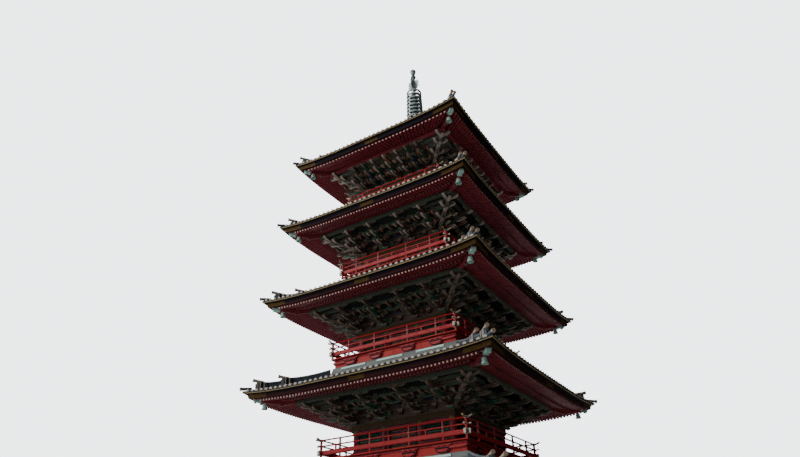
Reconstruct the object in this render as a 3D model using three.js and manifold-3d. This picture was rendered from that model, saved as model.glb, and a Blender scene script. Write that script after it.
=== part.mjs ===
// A five-storeyed timber pagoda, 36 m tall, with copper roofs and a bronze finial.
// Millimetres, +Z up, origin on the ground under the finial; the front faces -Y.
import * as THREE from 'three';
import { mergeVertices } from 'three/addons/utils/BufferGeometryUtils.js';
import Module from 'manifold-3d';

const wasm = await Module();
wasm.setup();

// Driving dimensions of the tower
const STOREYS = 5;
const SEAT = 0.3; // gap left between two pieces that touch
const EAVE_HEIGHT = 6800; // corner of the lowest eave above the ground
const STOREY_RISE = 5110; // from the first eave to the second
const STOREY_RISE_LOSS = 180; // each higher storey is this much lower
const EAVE_HALF = 7200; // half the width of the lowest roof
const EAVE_TAPER = 350;
const EAVE_TAPER_GAIN = 30;
const BODY_HALF = 3105; // half the width over the lowest head beam
const BODY_TAPER = 177;
const RAIL_HALF = 4287; // half the width over the lowest railing
const RAIL_TAPER = 297;
const EAVE_LIFT = 250; // how far the corners turn up
const EAVE_STEPS = [-1, -0.8, -0.45, 0.45, 0.8, 1]; // stations along one side of an eave
const FLOOR_DROP = 3170; // the second storey's floor below the corner of its eave
const FLOOR_DROP_LOSS = 90;

// Driving dimensions of the base and the finial
const PODIUM_HALF = 5900;
const PODIUM_HEIGHT = 800;
const PODIUM_CAP = 90; // the cap course projects this far
const VERANDA_TOP = 1550;
const STAIR_WIDTH = 2300;
const BASIN_BOTTOM = 28880;
const RINGS = 9;
const RING_TOP = 33750;
const RING_PITCH = 332;
const FINIAL_TOP = 36000;
const MAST_RADIUS = 95;

// Timber sizes
const WALL_FACE = 110; // the boards stand this far behind the head beam's face
const WALL_THICK = 255;
const COLUMN_RADIUS = 165;
const COLUMN_LINE = 0.35; // inner column lines, as a share of the body's half width
const SHUTTER_THICK = 40;
const HEAD_BEAM = 330;
const HEAD_BEAM_DROP = 1620; // the head beam's underside below the eave
const BOARDING_RISE = 480; // the bracket tier's boarding ends this far above the eave
const PURLIN_HALF = 110;
const PURLIN_DROP = 140;
const RAFTER_INSET = 350; // the flying rafters' ends behind the tile edge
const INNER_RAFTER_REACH = 0.705; // the lower rafters' ends, as a share of the way out
const SILL_RISE = 680; // the level seat on the rafters above the eave
const SILL_PAST = 150; // the seat reaches this far outside the waist wall
const WAIST_INSET = 100; // the waist wall's face behind the railing above it
const WAIST_THICK = 160;
const ARM_PROUD = 110;
const FLOOR_THICK = 120;
const FLOOR_EDGE = 55; // thickness of the floor where it passes the waist wall
const FLOOR_PAST = 70; // the floor's edge outside the railing's line
const RAIL_POST = 60;

// Roof sizes
const ROOF_SKIN = 210;
const ROOF_SEAT_DROP = 800; // the tiles meet the waist wall this far below its floor
const FLASHING_TALL = 400;
const FLASHING_THICK = 130;
const FASCIA_DROP = 320;
const APEX_HALF = 520; // the highest roof ends in a square this far from the axis
const RIDGE_TALL = 360;
const RIDGE_WIDE = 210;
const END_RIDGE_TALL = 220;
const END_RIDGE_WIDE = 170;
const END_RIDGE = 1250; // length of the low outer stage of a hip ridge, measured along the side

const PAINT = {
  stone: { color: 0x8d8a82, roughness: 0.9, metalness: 0 },
  vermilion: { color: 0xb5392a, roughness: 0.5, metalness: 0 },
  crimson: { color: 0x5e1f1c, roughness: 0.6, metalness: 0 },
  lattice: { color: 0x2e6a52, roughness: 0.6, metalness: 0 },
  bracket: { color: 0x5d6a55, roughness: 0.6, metalness: 0 },
  copper: { color: 0x6f8288, roughness: 0.55, metalness: 0.3 },
  bronze: { color: 0x5d7f76, roughness: 0.6, metalness: 0.4 },
};

const pagoda = new THREE.Group();

// Add one named piece in the paint of its trade
function piece(name, solid, paint) {
  const mesh = new THREE.Mesh(geometryOf(solid), new THREE.MeshStandardMaterial(PAINT[paint]));
  mesh.name = name;
  pagoda.add(mesh);
}

// Between three.js geometry and a solid that can be joined and cut
function solidOf(geometry) {
  geometry.deleteAttribute('normal');
  geometry.deleteAttribute('uv');
  const merged = mergeVertices(geometry);
  const vertProperties = new Float32Array(merged.attributes.position.array);
  const triVerts = new Uint32Array(merged.index.array);
  return new wasm.Manifold(new wasm.Mesh({ numProp: 3, vertProperties, triVerts }));
}

function geometryOf(solid) {
  const mesh = solid.getMesh();
  const geometry = new THREE.BufferGeometry();
  geometry.setAttribute('position', new THREE.BufferAttribute(new Float32Array(mesh.vertProperties), 3));
  geometry.setIndex(new THREE.BufferAttribute(new Uint32Array(mesh.triVerts), 1));
  geometry.computeVertexNormals();
  return geometry;
}

function join(solids) {
  return solids.reduce((all, next) => all.add(next));
}

// A box between two corners
function block(x0, y0, z0, x1, y1, z1) {
  const geometry = new THREE.BoxGeometry(x1 - x0, y1 - y0, z1 - z0);
  geometry.translate((x0 + x1) / 2, (y0 + y1) / 2, (z0 + z1) / 2);
  return geometry;
}

// An upright round bar
function post(x, y, z0, z1, radius, sides = 8) {
  const geometry = new THREE.CylinderGeometry(radius, radius, z1 - z0, sides);
  geometry.rotateX(Math.PI / 2);
  geometry.translate(x, y, (z0 + z1) / 2);
  return geometry;
}

// A closed profile of [half width, height] points, turned about the axis
function turned(profile, sides) {
  const points = [...profile, profile[0]].map(([r, z]) => new THREE.Vector2(r, z));
  const geometry = new THREE.LatheGeometry(points, sides);
  geometry.rotateX(Math.PI / 2);
  return solidOf(geometry);
}

// The same, carried round a square: each side has the stations given, from corner to corner,
// and lift(t, half) raises a point at station t and that half width
function squared(profile, stations = [-1, 1], lift = () => 0) {
  const points = [...profile, profile[0]].map(([half, z]) => new THREE.Vector2(half, z));
  const perSide = stations.length - 1;
  const geometry = new THREE.LatheGeometry(points, 4 * perSide);
  const position = geometry.attributes.position;
  for (let i = 0; i <= 4 * perSide; i += 1) {
    const side = Math.floor(i / perSide) % 4;
    const t = stations[i % perSide];
    points.forEach((point, j) => {
      const half = point.x;
      const along = half * t;
      const [x, y] = [[along, -half], [half, along], [-along, half], [-half, -along]][side];
      position.setXYZ(i * points.length + j, x, y, point.y + lift(t, half));
    });
  }
  return solidOf(geometry);
}

// A flat band between two half widths and two heights
function band(inner, outer, z0, z1) {
  return squared([[inner, z0], [outer, z0], [outer, z1], [inner, z1]]);
}

// An outline of [outwards, height] points, given a width and set against the front side at x,
// then turned to face its side; turn 0 is the front, 1 the right, 2 the back, 3 the left
function outlineAt(outline, width, x, start, turn) {
  const shape = new THREE.Shape(outline.map(([out, z]) => new THREE.Vector2(out, z)));
  const geometry = new THREE.ExtrudeGeometry(shape, { depth: width, bevelEnabled: false });
  geometry.translate(0, 0, -width / 2);
  geometry.rotateX(Math.PI / 2);
  geometry.rotateZ(-Math.PI / 2);
  geometry.translate(x, -start, 0);
  geometry.rotateZ(turn * Math.PI / 2);
  return solidOf(geometry);
}

// The same geometry on all four sides
function onFourSides(makeGeometry) {
  return [0, 1, 2, 3].map((turn) => solidOf(makeGeometry().rotateZ(turn * Math.PI / 2)));
}

// What every piece of a storey is measured from
function storey(k) {
  const n = k - 1;
  const pairs = n * (n - 1) / 2;
  const corner = EAVE_HEIGHT + n * STOREY_RISE - pairs * STOREY_RISE_LOSS;
  const half = EAVE_HALF - n * EAVE_TAPER - pairs * EAVE_TAPER_GAIN;
  const body = BODY_HALF - n * BODY_TAPER;
  const reach = half - body;
  const eave = corner - EAVE_LIFT;
  const waist = RAIL_HALF - k * RAIL_TAPER - WAIST_INSET; // face of the waist wall that stands on this storey
  const flat = waist + SILL_PAST; // the eaves start to turn up outside this line
  return {
    corner, half, body, reach, eave, waist, flat,
    floor: k === 1 ? VERANDA_TOP : corner - FLOOR_DROP + (n - 1) * FLOOR_DROP_LOSS,
    rail: RAIL_HALF - n * RAIL_TAPER,
    column: body * COLUMN_LINE,
    beamBottom: eave - HEAD_BEAM_DROP,
    beamTop: eave - HEAD_BEAM_DROP + HEAD_BEAM,
    boarding: eave + BOARDING_RISE,
    step: reach / 6,
    purlin: body + reach / 2,
    purlinTop: eave - PURLIN_DROP,
    tip: half - RAFTER_INSET,
    innerTip: body + reach * INNER_RAFTER_REACH,
    sill: eave + SILL_RISE,
    lift: (t, at) => EAVE_LIFT * Math.abs(t) ** 4 * Math.max(0, (at - flat) / (half - flat)) ** 2,
  };
}

// Stone podium: a mass of dressed blocks under a projecting cap course
const podiumFace = PODIUM_HALF - PODIUM_CAP;
piece('podium', join([
  solidOf(block(-podiumFace, -podiumFace, 0, podiumFace, podiumFace, PODIUM_HEIGHT)),
  solidOf(block(-PODIUM_HALF, -PODIUM_HALF, PODIUM_HEIGHT - 180, PODIUM_HALF, PODIUM_HALF, PODIUM_HEIGHT)),
]), 'stone');

// A flight of steps as one stepped outline, from its front at the bottom up to the level it reaches
function flight(bottom, top, risers, tread, start) {
  const rise = (top - bottom) / risers;
  const outline = [[0, bottom], [(risers - 1) * tread, bottom]];
  for (let n = 1; n < risers; n += 1) {
    outline.push([(risers - n) * tread, bottom + n * rise]);
    outline.push([(risers - n - 1) * tread, bottom + n * rise]);
  }
  return outlineAt(outline, STAIR_WIDTH, 0, start, 0);
}
piece('stone_steps', flight(0, PODIUM_HEIGHT, 4, 320, podiumFace + SEAT), 'stone');

// Veranda: a boarded floor on an edge beam and short posts, which the lowest walls also stand on
const ground = storey(1);
const VERANDA_HALF = ground.rail + 160;
const verandaPosts = [-1, -0.36, 0.36].flatMap((t) => onFourSides(() => {
  const line = VERANDA_HALF - 260;
  return block(t * line - 80, -line - 80, PODIUM_HEIGHT + SEAT, t * line + 80, -line + 80, VERANDA_TOP - 290);
}));
piece('veranda', join([
  solidOf(block(-VERANDA_HALF, -VERANDA_HALF, VERANDA_TOP - 120, VERANDA_HALF, VERANDA_HALF, VERANDA_TOP)),
  band(VERANDA_HALF - 350, VERANDA_HALF - 170, VERANDA_TOP - 300, VERANDA_TOP - 110),
  ...verandaPosts,
]), 'crimson');
piece('wooden_steps', flight(PODIUM_HEIGHT + SEAT, VERANDA_TOP, 4, 280, VERANDA_HALF + SEAT), 'vermilion');

// A railing: ground rail, middle rail and top rail on posts, the rails crossing past the corners
const RAIL_LEVELS = [
  { z0: 160, z1: 420, depth: 110 },
  { z0: 560, z1: 620, depth: 70 },
  { z0: 835, z1: 910, depth: 80 },
];
const RAIL_PAST = 330; // how far the top rail's ends run past the corner
function railing(half, floor, gate) {
  const foot = floor + SEAT;
  const bars = RAIL_LEVELS.map(({ z0, z1, depth }) => (
    band(half - depth / 2, half + depth / 2, foot + z0, foot + z1)));
  const top = RAIL_LEVELS[2];
  const ends = onFourSides(() => block(-half - RAIL_PAST, -half - 35, foot + top.z0 + 5,
    half + RAIL_PAST, -half + 35, foot + top.z1 - 5));
  const posts = [-1, -0.27, 0.27].flatMap((t) => onFourSides(() => block(
    t * half - RAIL_POST / 2, -half - RAIL_POST / 2, foot,
    t * half + RAIL_POST / 2, -half + RAIL_POST / 2, foot + top.z0 + 20)));
  const whole = join([...bars, ...ends, ...posts]);
  if (!gate) {
    return whole;
  }
  return whole.subtract(solidOf(block(-gate / 2, -half - 500, floor, gate / 2, -half + 500, floor + 1000)));
}

// Walls: boarded between round columns, with a door in the middle bay and a window in each outer bay
function openings(s) {
  const tall = s.beamBottom - s.floor;
  const doorHalf = Math.min(s.column - COLUMN_RADIUS - 60, 720);
  const windowCentre = (s.column + s.body - COLUMN_RADIUS) / 2;
  const windowHalf = (s.body - 2 * COLUMN_RADIUS - s.column) / 2 - 130;
  const doorTop = s.floor + Math.min(tall * 0.86, 2500);
  const sillHeight = s.floor + tall * 0.3;
  return { doorHalf, windowCentre, windowHalf, doorTop, sillHeight };
}

function wall(s) {
  const outer = s.body - WALL_FACE;
  const inner = outer - WALL_THICK;
  const top = s.beamBottom - SEAT;
  const bottom = s.floor + SEAT;
  const columnLine = s.body - COLUMN_RADIUS - 20;
  const columns = [-s.column, s.column, columnLine].flatMap((x) => onFourSides(
    () => post(x, -columnLine, bottom, top, COLUMN_RADIUS, 6)));
  const o = openings(s);
  const hole = (x, half, low) => onFourSides(
    () => block(x - half, -s.body - 200, low, x + half, -inner + 400, o.doorTop));
  const holes = [
    ...hole(0, o.doorHalf, s.floor - 100),
    ...hole(-o.windowCentre, o.windowHalf, o.sillHeight),
    ...hole(o.windowCentre, o.windowHalf, o.sillHeight),
  ];
  return join([band(inner, outer, bottom, top), ...columns]).subtract(join(holes));
}

// Bracket tier: the head beam, the boarding behind the brackets, and at each column line a stepped
// bracket that carries two stepped beams and the eave purlin, each farther out and higher
const BRACKET_WIDTH = 200;
function bracketOutline(s, stretch) {
  const base = s.beamTop;
  const run = s.step * stretch;
  return [
    [-30, base - 60], [190, base - 60], [200, base + 180], [run + 120, base + 260], [run + 120, base + 400],
    [2 * run + 120, base + 560], [2 * run + 120, base + 700], [3 * run + 60, base + 830],
    [3 * run + 60, base + 960], [-30, base + 1290],
  ];
}

function brackets(s) {
  const wallLine = s.body - 120;
  const boarding = s.boarding - SEAT;
  const rings = [
    squared([
      [s.body - 300, s.beamBottom], [s.body, s.beamBottom], [s.body, s.beamTop],
      [s.body - 110, s.beamTop], [s.body - 110, boarding], [s.body - 300, boarding],
    ]),
    band(s.purlin - PURLIN_HALF, s.purlin + PURLIN_HALF, s.purlinTop - 220, s.purlinTop - SEAT),
  ];
  const sets = [];
  [0, 1, 2, 3].forEach((turn) => {
    [-1, 1].forEach((hand) => {
      sets.push(outlineAt(bracketOutline(s, 1), BRACKET_WIDTH, hand * s.column, wallLine, turn));
    });
    sets.push(outlineAt(bracketOutline(s, Math.SQRT2), BRACKET_WIDTH, 0, wallLine * Math.SQRT2, turn + 0.5));
  });
  return join([...rings, ...sets]);
}

// Eave rafters: the lower rafters lie on the purlin, the flying rafters on their ends, and hip rafters
// run to the corners, each with its end cap and a wind bell
function rafters(s) {
  const bearing = s.purlin + PURLIN_HALF;
  const slope = (s.boarding - s.purlinTop) / (bearing - s.body + 100);
  const tipDrop = s.purlinTop - (s.innerTip - bearing) * slope;
  const skin = 170;
  const profile = [
    [s.tip, s.eave - 430], [s.tip, s.eave - 330], [s.innerTip, s.eave - 130], [bearing, s.purlinTop + skin],
    [s.flat, s.sill], [s.body - 350, s.sill], [s.body - 350, s.boarding], [s.body - 100, s.boarding],
    [bearing, s.purlinTop], [s.innerTip, tipDrop], [s.innerTip, s.eave - 240],
  ];
  const parts = [squared(profile, EAVE_STEPS, s.lift)];
  const hipStart = (bearing + 20) * Math.SQRT2;
  const hipLength = (s.half - 500) * Math.SQRT2 - hipStart;
  const knee = s.reach * 0.174 * Math.SQRT2;
  const hip = [
    [0, s.purlinTop + 20], [knee, s.eave - 330],
    [hipLength, s.corner - 470], [hipLength, s.corner - 260],
    [knee, s.eave - 160],
  ];
  [0.5, 1.5, 2.5, 3.5].forEach((turn) => {
    parts.push(outlineAt(hip, 190, 0, hipStart, turn));
    parts.push(windBell(s, turn));
  });
  return join(parts);
}

// A wind bell hung under a hip rafter by a short hook
const BELL = [[0, 300], [70, 290], [95, 120], [125, 0], [0, 0]];
function windBell(s, turn) {
  const reach = (s.half - 820) * Math.SQRT2;
  const bottom = s.corner - 860;
  const profile = BELL.map(([r, z]) => new THREE.Vector2(r, z + bottom)).reverse();
  const bell = new THREE.LatheGeometry(profile, 6);
  bell.rotateX(Math.PI / 2);
  const hook = post(0, 0, bottom + 250, s.corner - 400, 22, 4);
  return join([bell, hook].map((geometry) => {
    geometry.translate(0, -reach, 0);
    geometry.rotateZ(turn * Math.PI / 2);
    return solidOf(geometry);
  }));
}

// Roof: a hipped skirt whose eaves turn up at the corners, with its fascia below the tile edge, the
// framing ring inside that ends in the flashing against the waist wall, and hip ridges in two heights
function roof(s, innerHalf, innerTop, frameTop) {
  const rise = innerTop - s.eave;
  const surface = (at) => {
    const up = (s.half - at) / (s.half - innerHalf);
    return s.eave + rise * (0.72 * up + 0.28 * up * up);
  };
  const stations = [0.3, 0.65].map((share) => s.half - share * (s.half - innerHalf));
  const profile = [
    [s.half - 230, s.eave - FASCIA_DROP], [s.half - 170, s.eave - 90],
    [s.half, s.eave - 80], [s.half, s.eave],
    ...stations.map((at) => [at, surface(at)]),
    [innerHalf, innerTop], [innerHalf, innerTop - ROOF_SKIN],
    ...[...stations].reverse().map((at) => [at, surface(at) - ROOF_SKIN]),
    [s.half - 380, s.eave - 170], [s.half - 350, s.eave - FASCIA_DROP],
  ];
  const frameOuter = s.waist + SEAT + FLASHING_THICK;
  const parts = [
    squared(profile, EAVE_STEPS, s.lift),
    band(s.waist + SEAT, frameOuter, s.sill + SEAT, frameTop ?? surface(frameOuter) - 60),
  ];
  const ridgeEnd = s.half - END_RIDGE;
  [0.5, 1.5, 2.5, 3.5].forEach((turn) => {
    parts.push(hipRidge(s, surface, innerHalf + 20, ridgeEnd, RIDGE_TALL, RIDGE_WIDE, turn));
    parts.push(hipRidge(s, surface, ridgeEnd - 100, s.half - 160, END_RIDGE_TALL, END_RIDGE_WIDE, turn));
  });
  return join(parts);
}

// One length of hip ridge, from an inner to an outer half width, tall above the roof and turned up at its end
function hipRidge(s, surface, from, to, tall, width, turn) {
  const spots = [0, 0.5, 1].map((share) => from + share * (to - from));
  const level = (at) => surface(at) + s.lift(1, at);
  const outline = [
    ...spots.map((at) => [at * Math.SQRT2, level(at) - 90]),
    ...[...spots].reverse().map((at, n) => [at * Math.SQRT2, level(at) + tall + (n === 0 ? 90 : 0)]),
  ];
  return outlineAt(outline, width, 0, 0, turn);
}

// Waist wall: the boarded base that carries a balcony, with its bracket arms
function waistWall(s, below) {
  const outer = below.waist;
  const inner = outer - WAIST_THICK;
  const top = s.floor - FLOOR_THICK - SEAT;
  const arms = [-s.column, s.column, -s.body + 200, s.body - 200].flatMap((x) => onFourSides(
    () => block(x - 400, -outer - ARM_PROUD, top - 110, x + 400, -outer + 60, top)));
  return join([band(inner, outer, below.sill + SEAT, top), ...arms]);
}

// Balcony: a boarded floor whose thin edge passes the waist wall
function balcony(s, below) {
  const edge = s.rail + FLOOR_PAST;
  const inner = below.waist;
  const top = s.floor;
  return join([
    solidOf(block(-edge, -edge, top - FLOOR_EDGE, edge, edge, top)),
    solidOf(block(-inner, -inner, top - FLOOR_THICK, inner, inner, top - FLOOR_EDGE / 2)),
  ]);
}

// The storeys, from the ground up
for (let k = 1; k <= STOREYS; k += 1) {
  const s = storey(k);
  if (k > 1) {
    const below = storey(k - 1);
    piece(`waist_wall_${k}`, waistWall(s, below), 'vermilion');
    piece(`balcony_${k}`, balcony(s, below), 'vermilion');
    piece(`railing_${k}`, railing(s.rail, s.floor, 0), 'vermilion');
  } else {
    piece('veranda_railing', railing(s.rail, s.floor, STAIR_WIDTH), 'vermilion');
  }
  piece(`walls_${k}`, wall(s), 'crimson');
  const lining = s.body - WALL_FACE - WALL_THICK - SEAT;
  const shutters = band(lining - SHUTTER_THICK, lining, s.floor + SEAT, s.beamBottom - SEAT);
  piece(`shutters_${k}`, shutters, 'lattice');
  piece(`brackets_${k}`, brackets(s), 'bracket');
  piece(`rafters_${k}`, rafters(s), 'crimson');
  if (k < STOREYS) {
    const seat = storey(k + 1).floor - ROOF_SEAT_DROP;
    piece(`roof_${k}`, roof(s, s.waist + SEAT, seat, seat + FLASHING_TALL), 'copper');
  } else {
    const top = BASIN_BOTTOM - SEAT;
    const overApex = solidOf(block(-s.half, -s.half, top, s.half, s.half, top + 1000));
    piece(`roof_${k}`, roof(s, APEX_HALF, top).subtract(overApex), 'copper');
  }
}

// Finial: dew basin, inverted bowl with its lotus, mast with nine rings, water flame and two jewels
const basinTop = BASIN_BOTTOM + 720;
const sleeve = MAST_RADIUS + SEAT;
piece('dew_basin', squared([
  [sleeve, BASIN_BOTTOM], [660, BASIN_BOTTOM], [660, BASIN_BOTTOM + 110], [560, BASIN_BOTTOM + 150],
  [560, basinTop - 150], [680, basinTop - 90], [680, basinTop], [sleeve, basinTop],
]), 'bronze');

const bowlBottom = basinTop + SEAT;
piece('lotus_bowl', turned([
  [sleeve, bowlBottom], [500, bowlBottom], [470, bowlBottom + 220], [330, bowlBottom + 400],
  [230, bowlBottom + 450], [420, bowlBottom + 640], [520, bowlBottom + 800], [300, bowlBottom + 780],
  [sleeve, bowlBottom + 700],
], 12), 'bronze');

function ringMast() {
  const parts = [solidOf(post(0, 0, BASIN_BOTTOM + 20, RING_TOP + 250, MAST_RADIUS, 6))];
  for (let n = 0; n < RINGS; n += 1) {
    const z = RING_TOP - n * RING_PITCH;
    const radius = 530 + n * 8;
    parts.push(turned([
      [radius - 80, z - 60], [radius, z - 60], [radius, z + 60], [radius - 80, z + 60],
    ], 8));
    [0, 1].forEach((turn) => {
      const spoke = block(-radius + 30, -28, z - 28, radius - 30, 28, z + 28);
      parts.push(solidOf(spoke.rotateZ(turn * Math.PI / 2)));
    });
  }
  return join(parts);
}
piece('ring_mast', ringMast(), 'bronze');

// Four flame plates in a cross round a socket
const flameBottom = RING_TOP + 250 + SEAT;
function waterFlame() {
  const outline = [
    [0, 0], [150, 40], [330, 160], [420, 330], [380, 520],
    [430, 640], [300, 800], [170, 700], [120, 940], [0, 980],
  ].map(([out, z]) => [out, flameBottom + z]);
  const plates = [0, 1, 2, 3].map((turn) => outlineAt(outline, 36, 0, 0, turn));
  return join([...plates, solidOf(post(0, 0, flameBottom, flameBottom + 1000, 70))]);
}
piece('water_flame', waterFlame(), 'bronze');

const jewelBottom = flameBottom + 1000 + SEAT;
piece('jewels', solidOf(new THREE.LatheGeometry([
  [0, jewelBottom], [90, jewelBottom], [190, jewelBottom + 110], [170, jewelBottom + 230],
  [70, jewelBottom + 300], [90, jewelBottom + 400], [215, FINIAL_TOP - 340], [190, FINIAL_TOP - 200],
  [60, FINIAL_TOP - 70], [0, FINIAL_TOP],
].map(([r, z]) => new THREE.Vector2(r, z)), 12).rotateX(Math.PI / 2)), 'bronze');

export default pagoda;
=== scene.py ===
# Dresses a packed five-storeyed timber pagoda: lacquered joinery, painted brackets, copper roofs, finial.
from math import ceil, cos, floor, pi, radians, sin, sqrt
from types import SimpleNamespace

import bpy
from mathutils import Matrix, Vector


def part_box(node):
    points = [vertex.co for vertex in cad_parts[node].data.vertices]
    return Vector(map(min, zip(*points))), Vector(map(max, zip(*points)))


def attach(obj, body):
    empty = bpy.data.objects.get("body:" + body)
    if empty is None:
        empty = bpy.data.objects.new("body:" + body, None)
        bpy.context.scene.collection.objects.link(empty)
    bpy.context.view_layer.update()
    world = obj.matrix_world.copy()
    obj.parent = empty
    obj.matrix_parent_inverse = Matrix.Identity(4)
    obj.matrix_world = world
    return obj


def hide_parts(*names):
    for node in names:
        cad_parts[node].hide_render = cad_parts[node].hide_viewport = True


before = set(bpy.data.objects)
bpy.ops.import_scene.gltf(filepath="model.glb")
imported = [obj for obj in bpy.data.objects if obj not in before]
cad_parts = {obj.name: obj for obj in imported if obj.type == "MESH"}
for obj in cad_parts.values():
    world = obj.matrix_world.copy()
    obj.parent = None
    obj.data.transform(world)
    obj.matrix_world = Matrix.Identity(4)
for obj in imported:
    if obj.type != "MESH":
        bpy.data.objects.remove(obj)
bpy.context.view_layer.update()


# Viewpoint, light and floor: the tower is seen from low on its right, with its front and right sides in
# view, under two broad soft lights, from the front left and the back left. The floor is plain and pale.
VIEW_FROM = Vector((15.71, -28.17, 3.51))
YAW, PITCH, ROLL = radians(31.44), radians(30.41), radians(-1.71)
LENS_MM = 27.05
FARTHEST = 400
TOWER_MIDDLE = Vector((0, 0, 17))

level = Vector((cos(YAW), sin(YAW), 0))
ahead = Vector((-sin(YAW) * cos(PITCH), cos(YAW) * cos(PITCH), sin(PITCH)))
above = level.cross(ahead)
across = level * cos(ROLL) + above * sin(ROLL)
upward = above * cos(ROLL) - level * sin(ROLL)
camera = bpy.data.objects.new("camera", bpy.data.cameras.new("camera"))
camera.matrix_world = Matrix.Translation(VIEW_FROM) @ Matrix((across, upward, -ahead)).transposed().to_4x4()
camera.data.lens = LENS_MM
camera.data.clip_end = FARTHEST
bpy.context.scene.collection.objects.link(camera)
bpy.context.scene.camera = camera


def lamp(name, place, size, power, colour):
    """A square soft light that faces the middle of the tower."""
    light = bpy.data.lights.new(name, "AREA")
    light.size = size
    light.energy = power
    light.color = colour
    holder = bpy.data.objects.new(name, light)
    holder.location = place
    holder.rotation_euler = (TOWER_MIDDLE - holder.location).to_track_quat("-Z", "Y").to_euler()
    bpy.context.scene.collection.objects.link(holder)


lamp("key_light", (-34, -50, 46), 28, 17000, (1.0, 0.97, 0.93))
lamp("back_light", (-48, 56, 50), 30, 8500, (0.93, 0.96, 1.0))


class Wire:
    """A socket of a node tree. Arithmetic on it adds Math nodes."""

    def __init__(self, net, socket):
        self.net = net
        self.socket = socket

    def __add__(self, other):
        return self.net.math("ADD", self, other)

    def __sub__(self, other):
        return self.net.math("SUBTRACT", self, other)

    def __rsub__(self, other):
        return self.net.math("SUBTRACT", other, self)

    def __mul__(self, other):
        return self.net.math("MULTIPLY", self, other)

    def __truediv__(self, other):
        return self.net.math("DIVIDE", self, other)

    def __pow__(self, other):
        return self.net.math("POWER", self, other)

    def __abs__(self):
        return self.net.math("ABSOLUTE", self)


class Net:
    """The nodes of one tree. A node is made from its type, its settings and what its sockets hold."""

    def __init__(self, tree):
        self.tree = tree

    def add(self, kind, settings=None, sockets=None, out=0):
        node = self.tree.nodes.new(kind)
        for name, value in (settings or {}).items():
            if name == "stops":
                ramp = node.color_ramp.elements
                while len(ramp) < len(value):
                    ramp.new(1)
                for element, (place, colour) in zip(ramp, value):
                    element.position = place
                    element.color = colour
            else:
                setattr(node, name, value)
        for name, value in (sockets or {}).items():
            if isinstance(value, Wire):
                self.tree.links.new(value.socket, node.inputs[name])
            else:
                node.inputs[name].default_value = value
        return Wire(self, node.outputs[out])

    def math(self, operation, *values):
        return self.add("ShaderNodeMath", {"operation": operation}, dict(enumerate(values)))

    def split(self, vector):
        first = self.add("ShaderNodeSeparateXYZ", {}, {0: vector})
        return [Wire(self, socket) for socket in first.socket.node.outputs]

    def vector(self, x, y=0.0, z=0.0):
        return self.add("ShaderNodeCombineXYZ", {}, {0: x, 1: y, 2: z})

    def mix(self, share, first, second):
        return self.add("ShaderNodeMix", {"data_type": "RGBA"}, {0: share, 6: first, 7: second}, out=2)


def noise(net, place, scale, detail, stretch=(1, 1, 1)):
    """Cloudy noise from 0 to 1 with features of about 1/scale metres, drawn out along the stretched axes."""
    spread = net.add("ShaderNodeMapping", {}, {"Vector": place, "Scale": stretch})
    return net.add("ShaderNodeTexNoise", {}, {"Vector": spread, "Scale": scale, "Detail": detail}, out="Fac")


def patch(net, value, low, high):
    """A mask that rises from 0 to 1 as the value goes from low to high."""
    stops = [(low, (0, 0, 0, 1)), (high, (1, 1, 1, 1))]
    return net.add("ShaderNodeValToRGB", {"stops": stops}, {"Fac": value})


def finish(name, colour, worn, rough=0.5, metal=0.0, grain=18.0, bump=0.004, coat=0.0, wear=0.35, shine=0.3,
           relief=None, tint=None, second=None):
    """A painted, gilded or weathered surface: clouded and streaked from its colour towards its worn colour,
    with a fine grain in the bump. relief(net, place) gives a height of its own, from 0 to 1, and
    tint(net, place) a share of 0 to 1 of a second colour, or of a darker tone."""
    material = bpy.data.materials.new(name)
    material.use_nodes = True
    net = Net(material.node_tree)
    shader = material.node_tree.nodes["Principled BSDF"]
    place = net.add("ShaderNodeTexCoord", out="Object")
    clouds = noise(net, place, 0.9, 5)
    streaks = noise(net, place, 5.0, 4, (1, 1, 0.12))
    specks = noise(net, place, grain, 4)
    age = patch(net, clouds * 0.45 + streaks * 0.35 + specks * 0.2, 0.62 - wear * 0.35, 0.74 - wear * 0.2)
    shaded = net.mix(age, (*colour, 1), (*worn, 1))
    dark = (*[channel * 0.5 for channel in colour], 1)
    shaded = net.mix(specks * 0.45, shaded, dark)
    if tint:
        shaded = net.mix(tint(net, place), shaded, (*second, 1) if second else dark)
    height = specks * 0.6 + streaks * 0.4
    if relief:
        height = height * 0.25 + relief(net, place)
    links = material.node_tree.links
    links.new(shaded.socket, shader.inputs["Base Color"])
    links.new((age * 0.22 + specks * 0.16 + (rough - 0.16)).socket, shader.inputs["Roughness"])
    normal = net.add("ShaderNodeBump", {}, {"Strength": 1.0, "Distance": bump, "Height": height})
    links.new(normal.socket, shader.inputs["Normal"])
    shader.inputs["Metallic"].default_value = metal
    shader.inputs["Coat Weight"].default_value = coat
    shader.inputs["Coat Roughness"].default_value = 0.3
    shader.inputs["Specular IOR Level"].default_value = shine
    return material


# The sky is white behind the tower and on its left, and dims towards its right side.
sky = bpy.data.worlds.new("sky")
sky.use_nodes = True
net = Net(sky.node_tree)
east = net.split(net.add("ShaderNodeTexCoord", out="Generated"))[0]
dim = net.add("ShaderNodeMapRange", {"interpolation_type": "SMOOTHSTEP"}, {
    "Value": east, "From Min": -0.4, "From Max": 0.22, "To Min": 1.75, "To Max": 0.02})
seen = net.add("ShaderNodeLightPath", out="Is Camera Ray")
background = sky.node_tree.nodes["Background"]
background.inputs["Color"].default_value = (0.93, 0.96, 1.0, 1)
sky.node_tree.links.new((dim * (1 - seen) + seen * 4.0).socket, background.inputs["Strength"])
bpy.context.scene.world = sky

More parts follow.
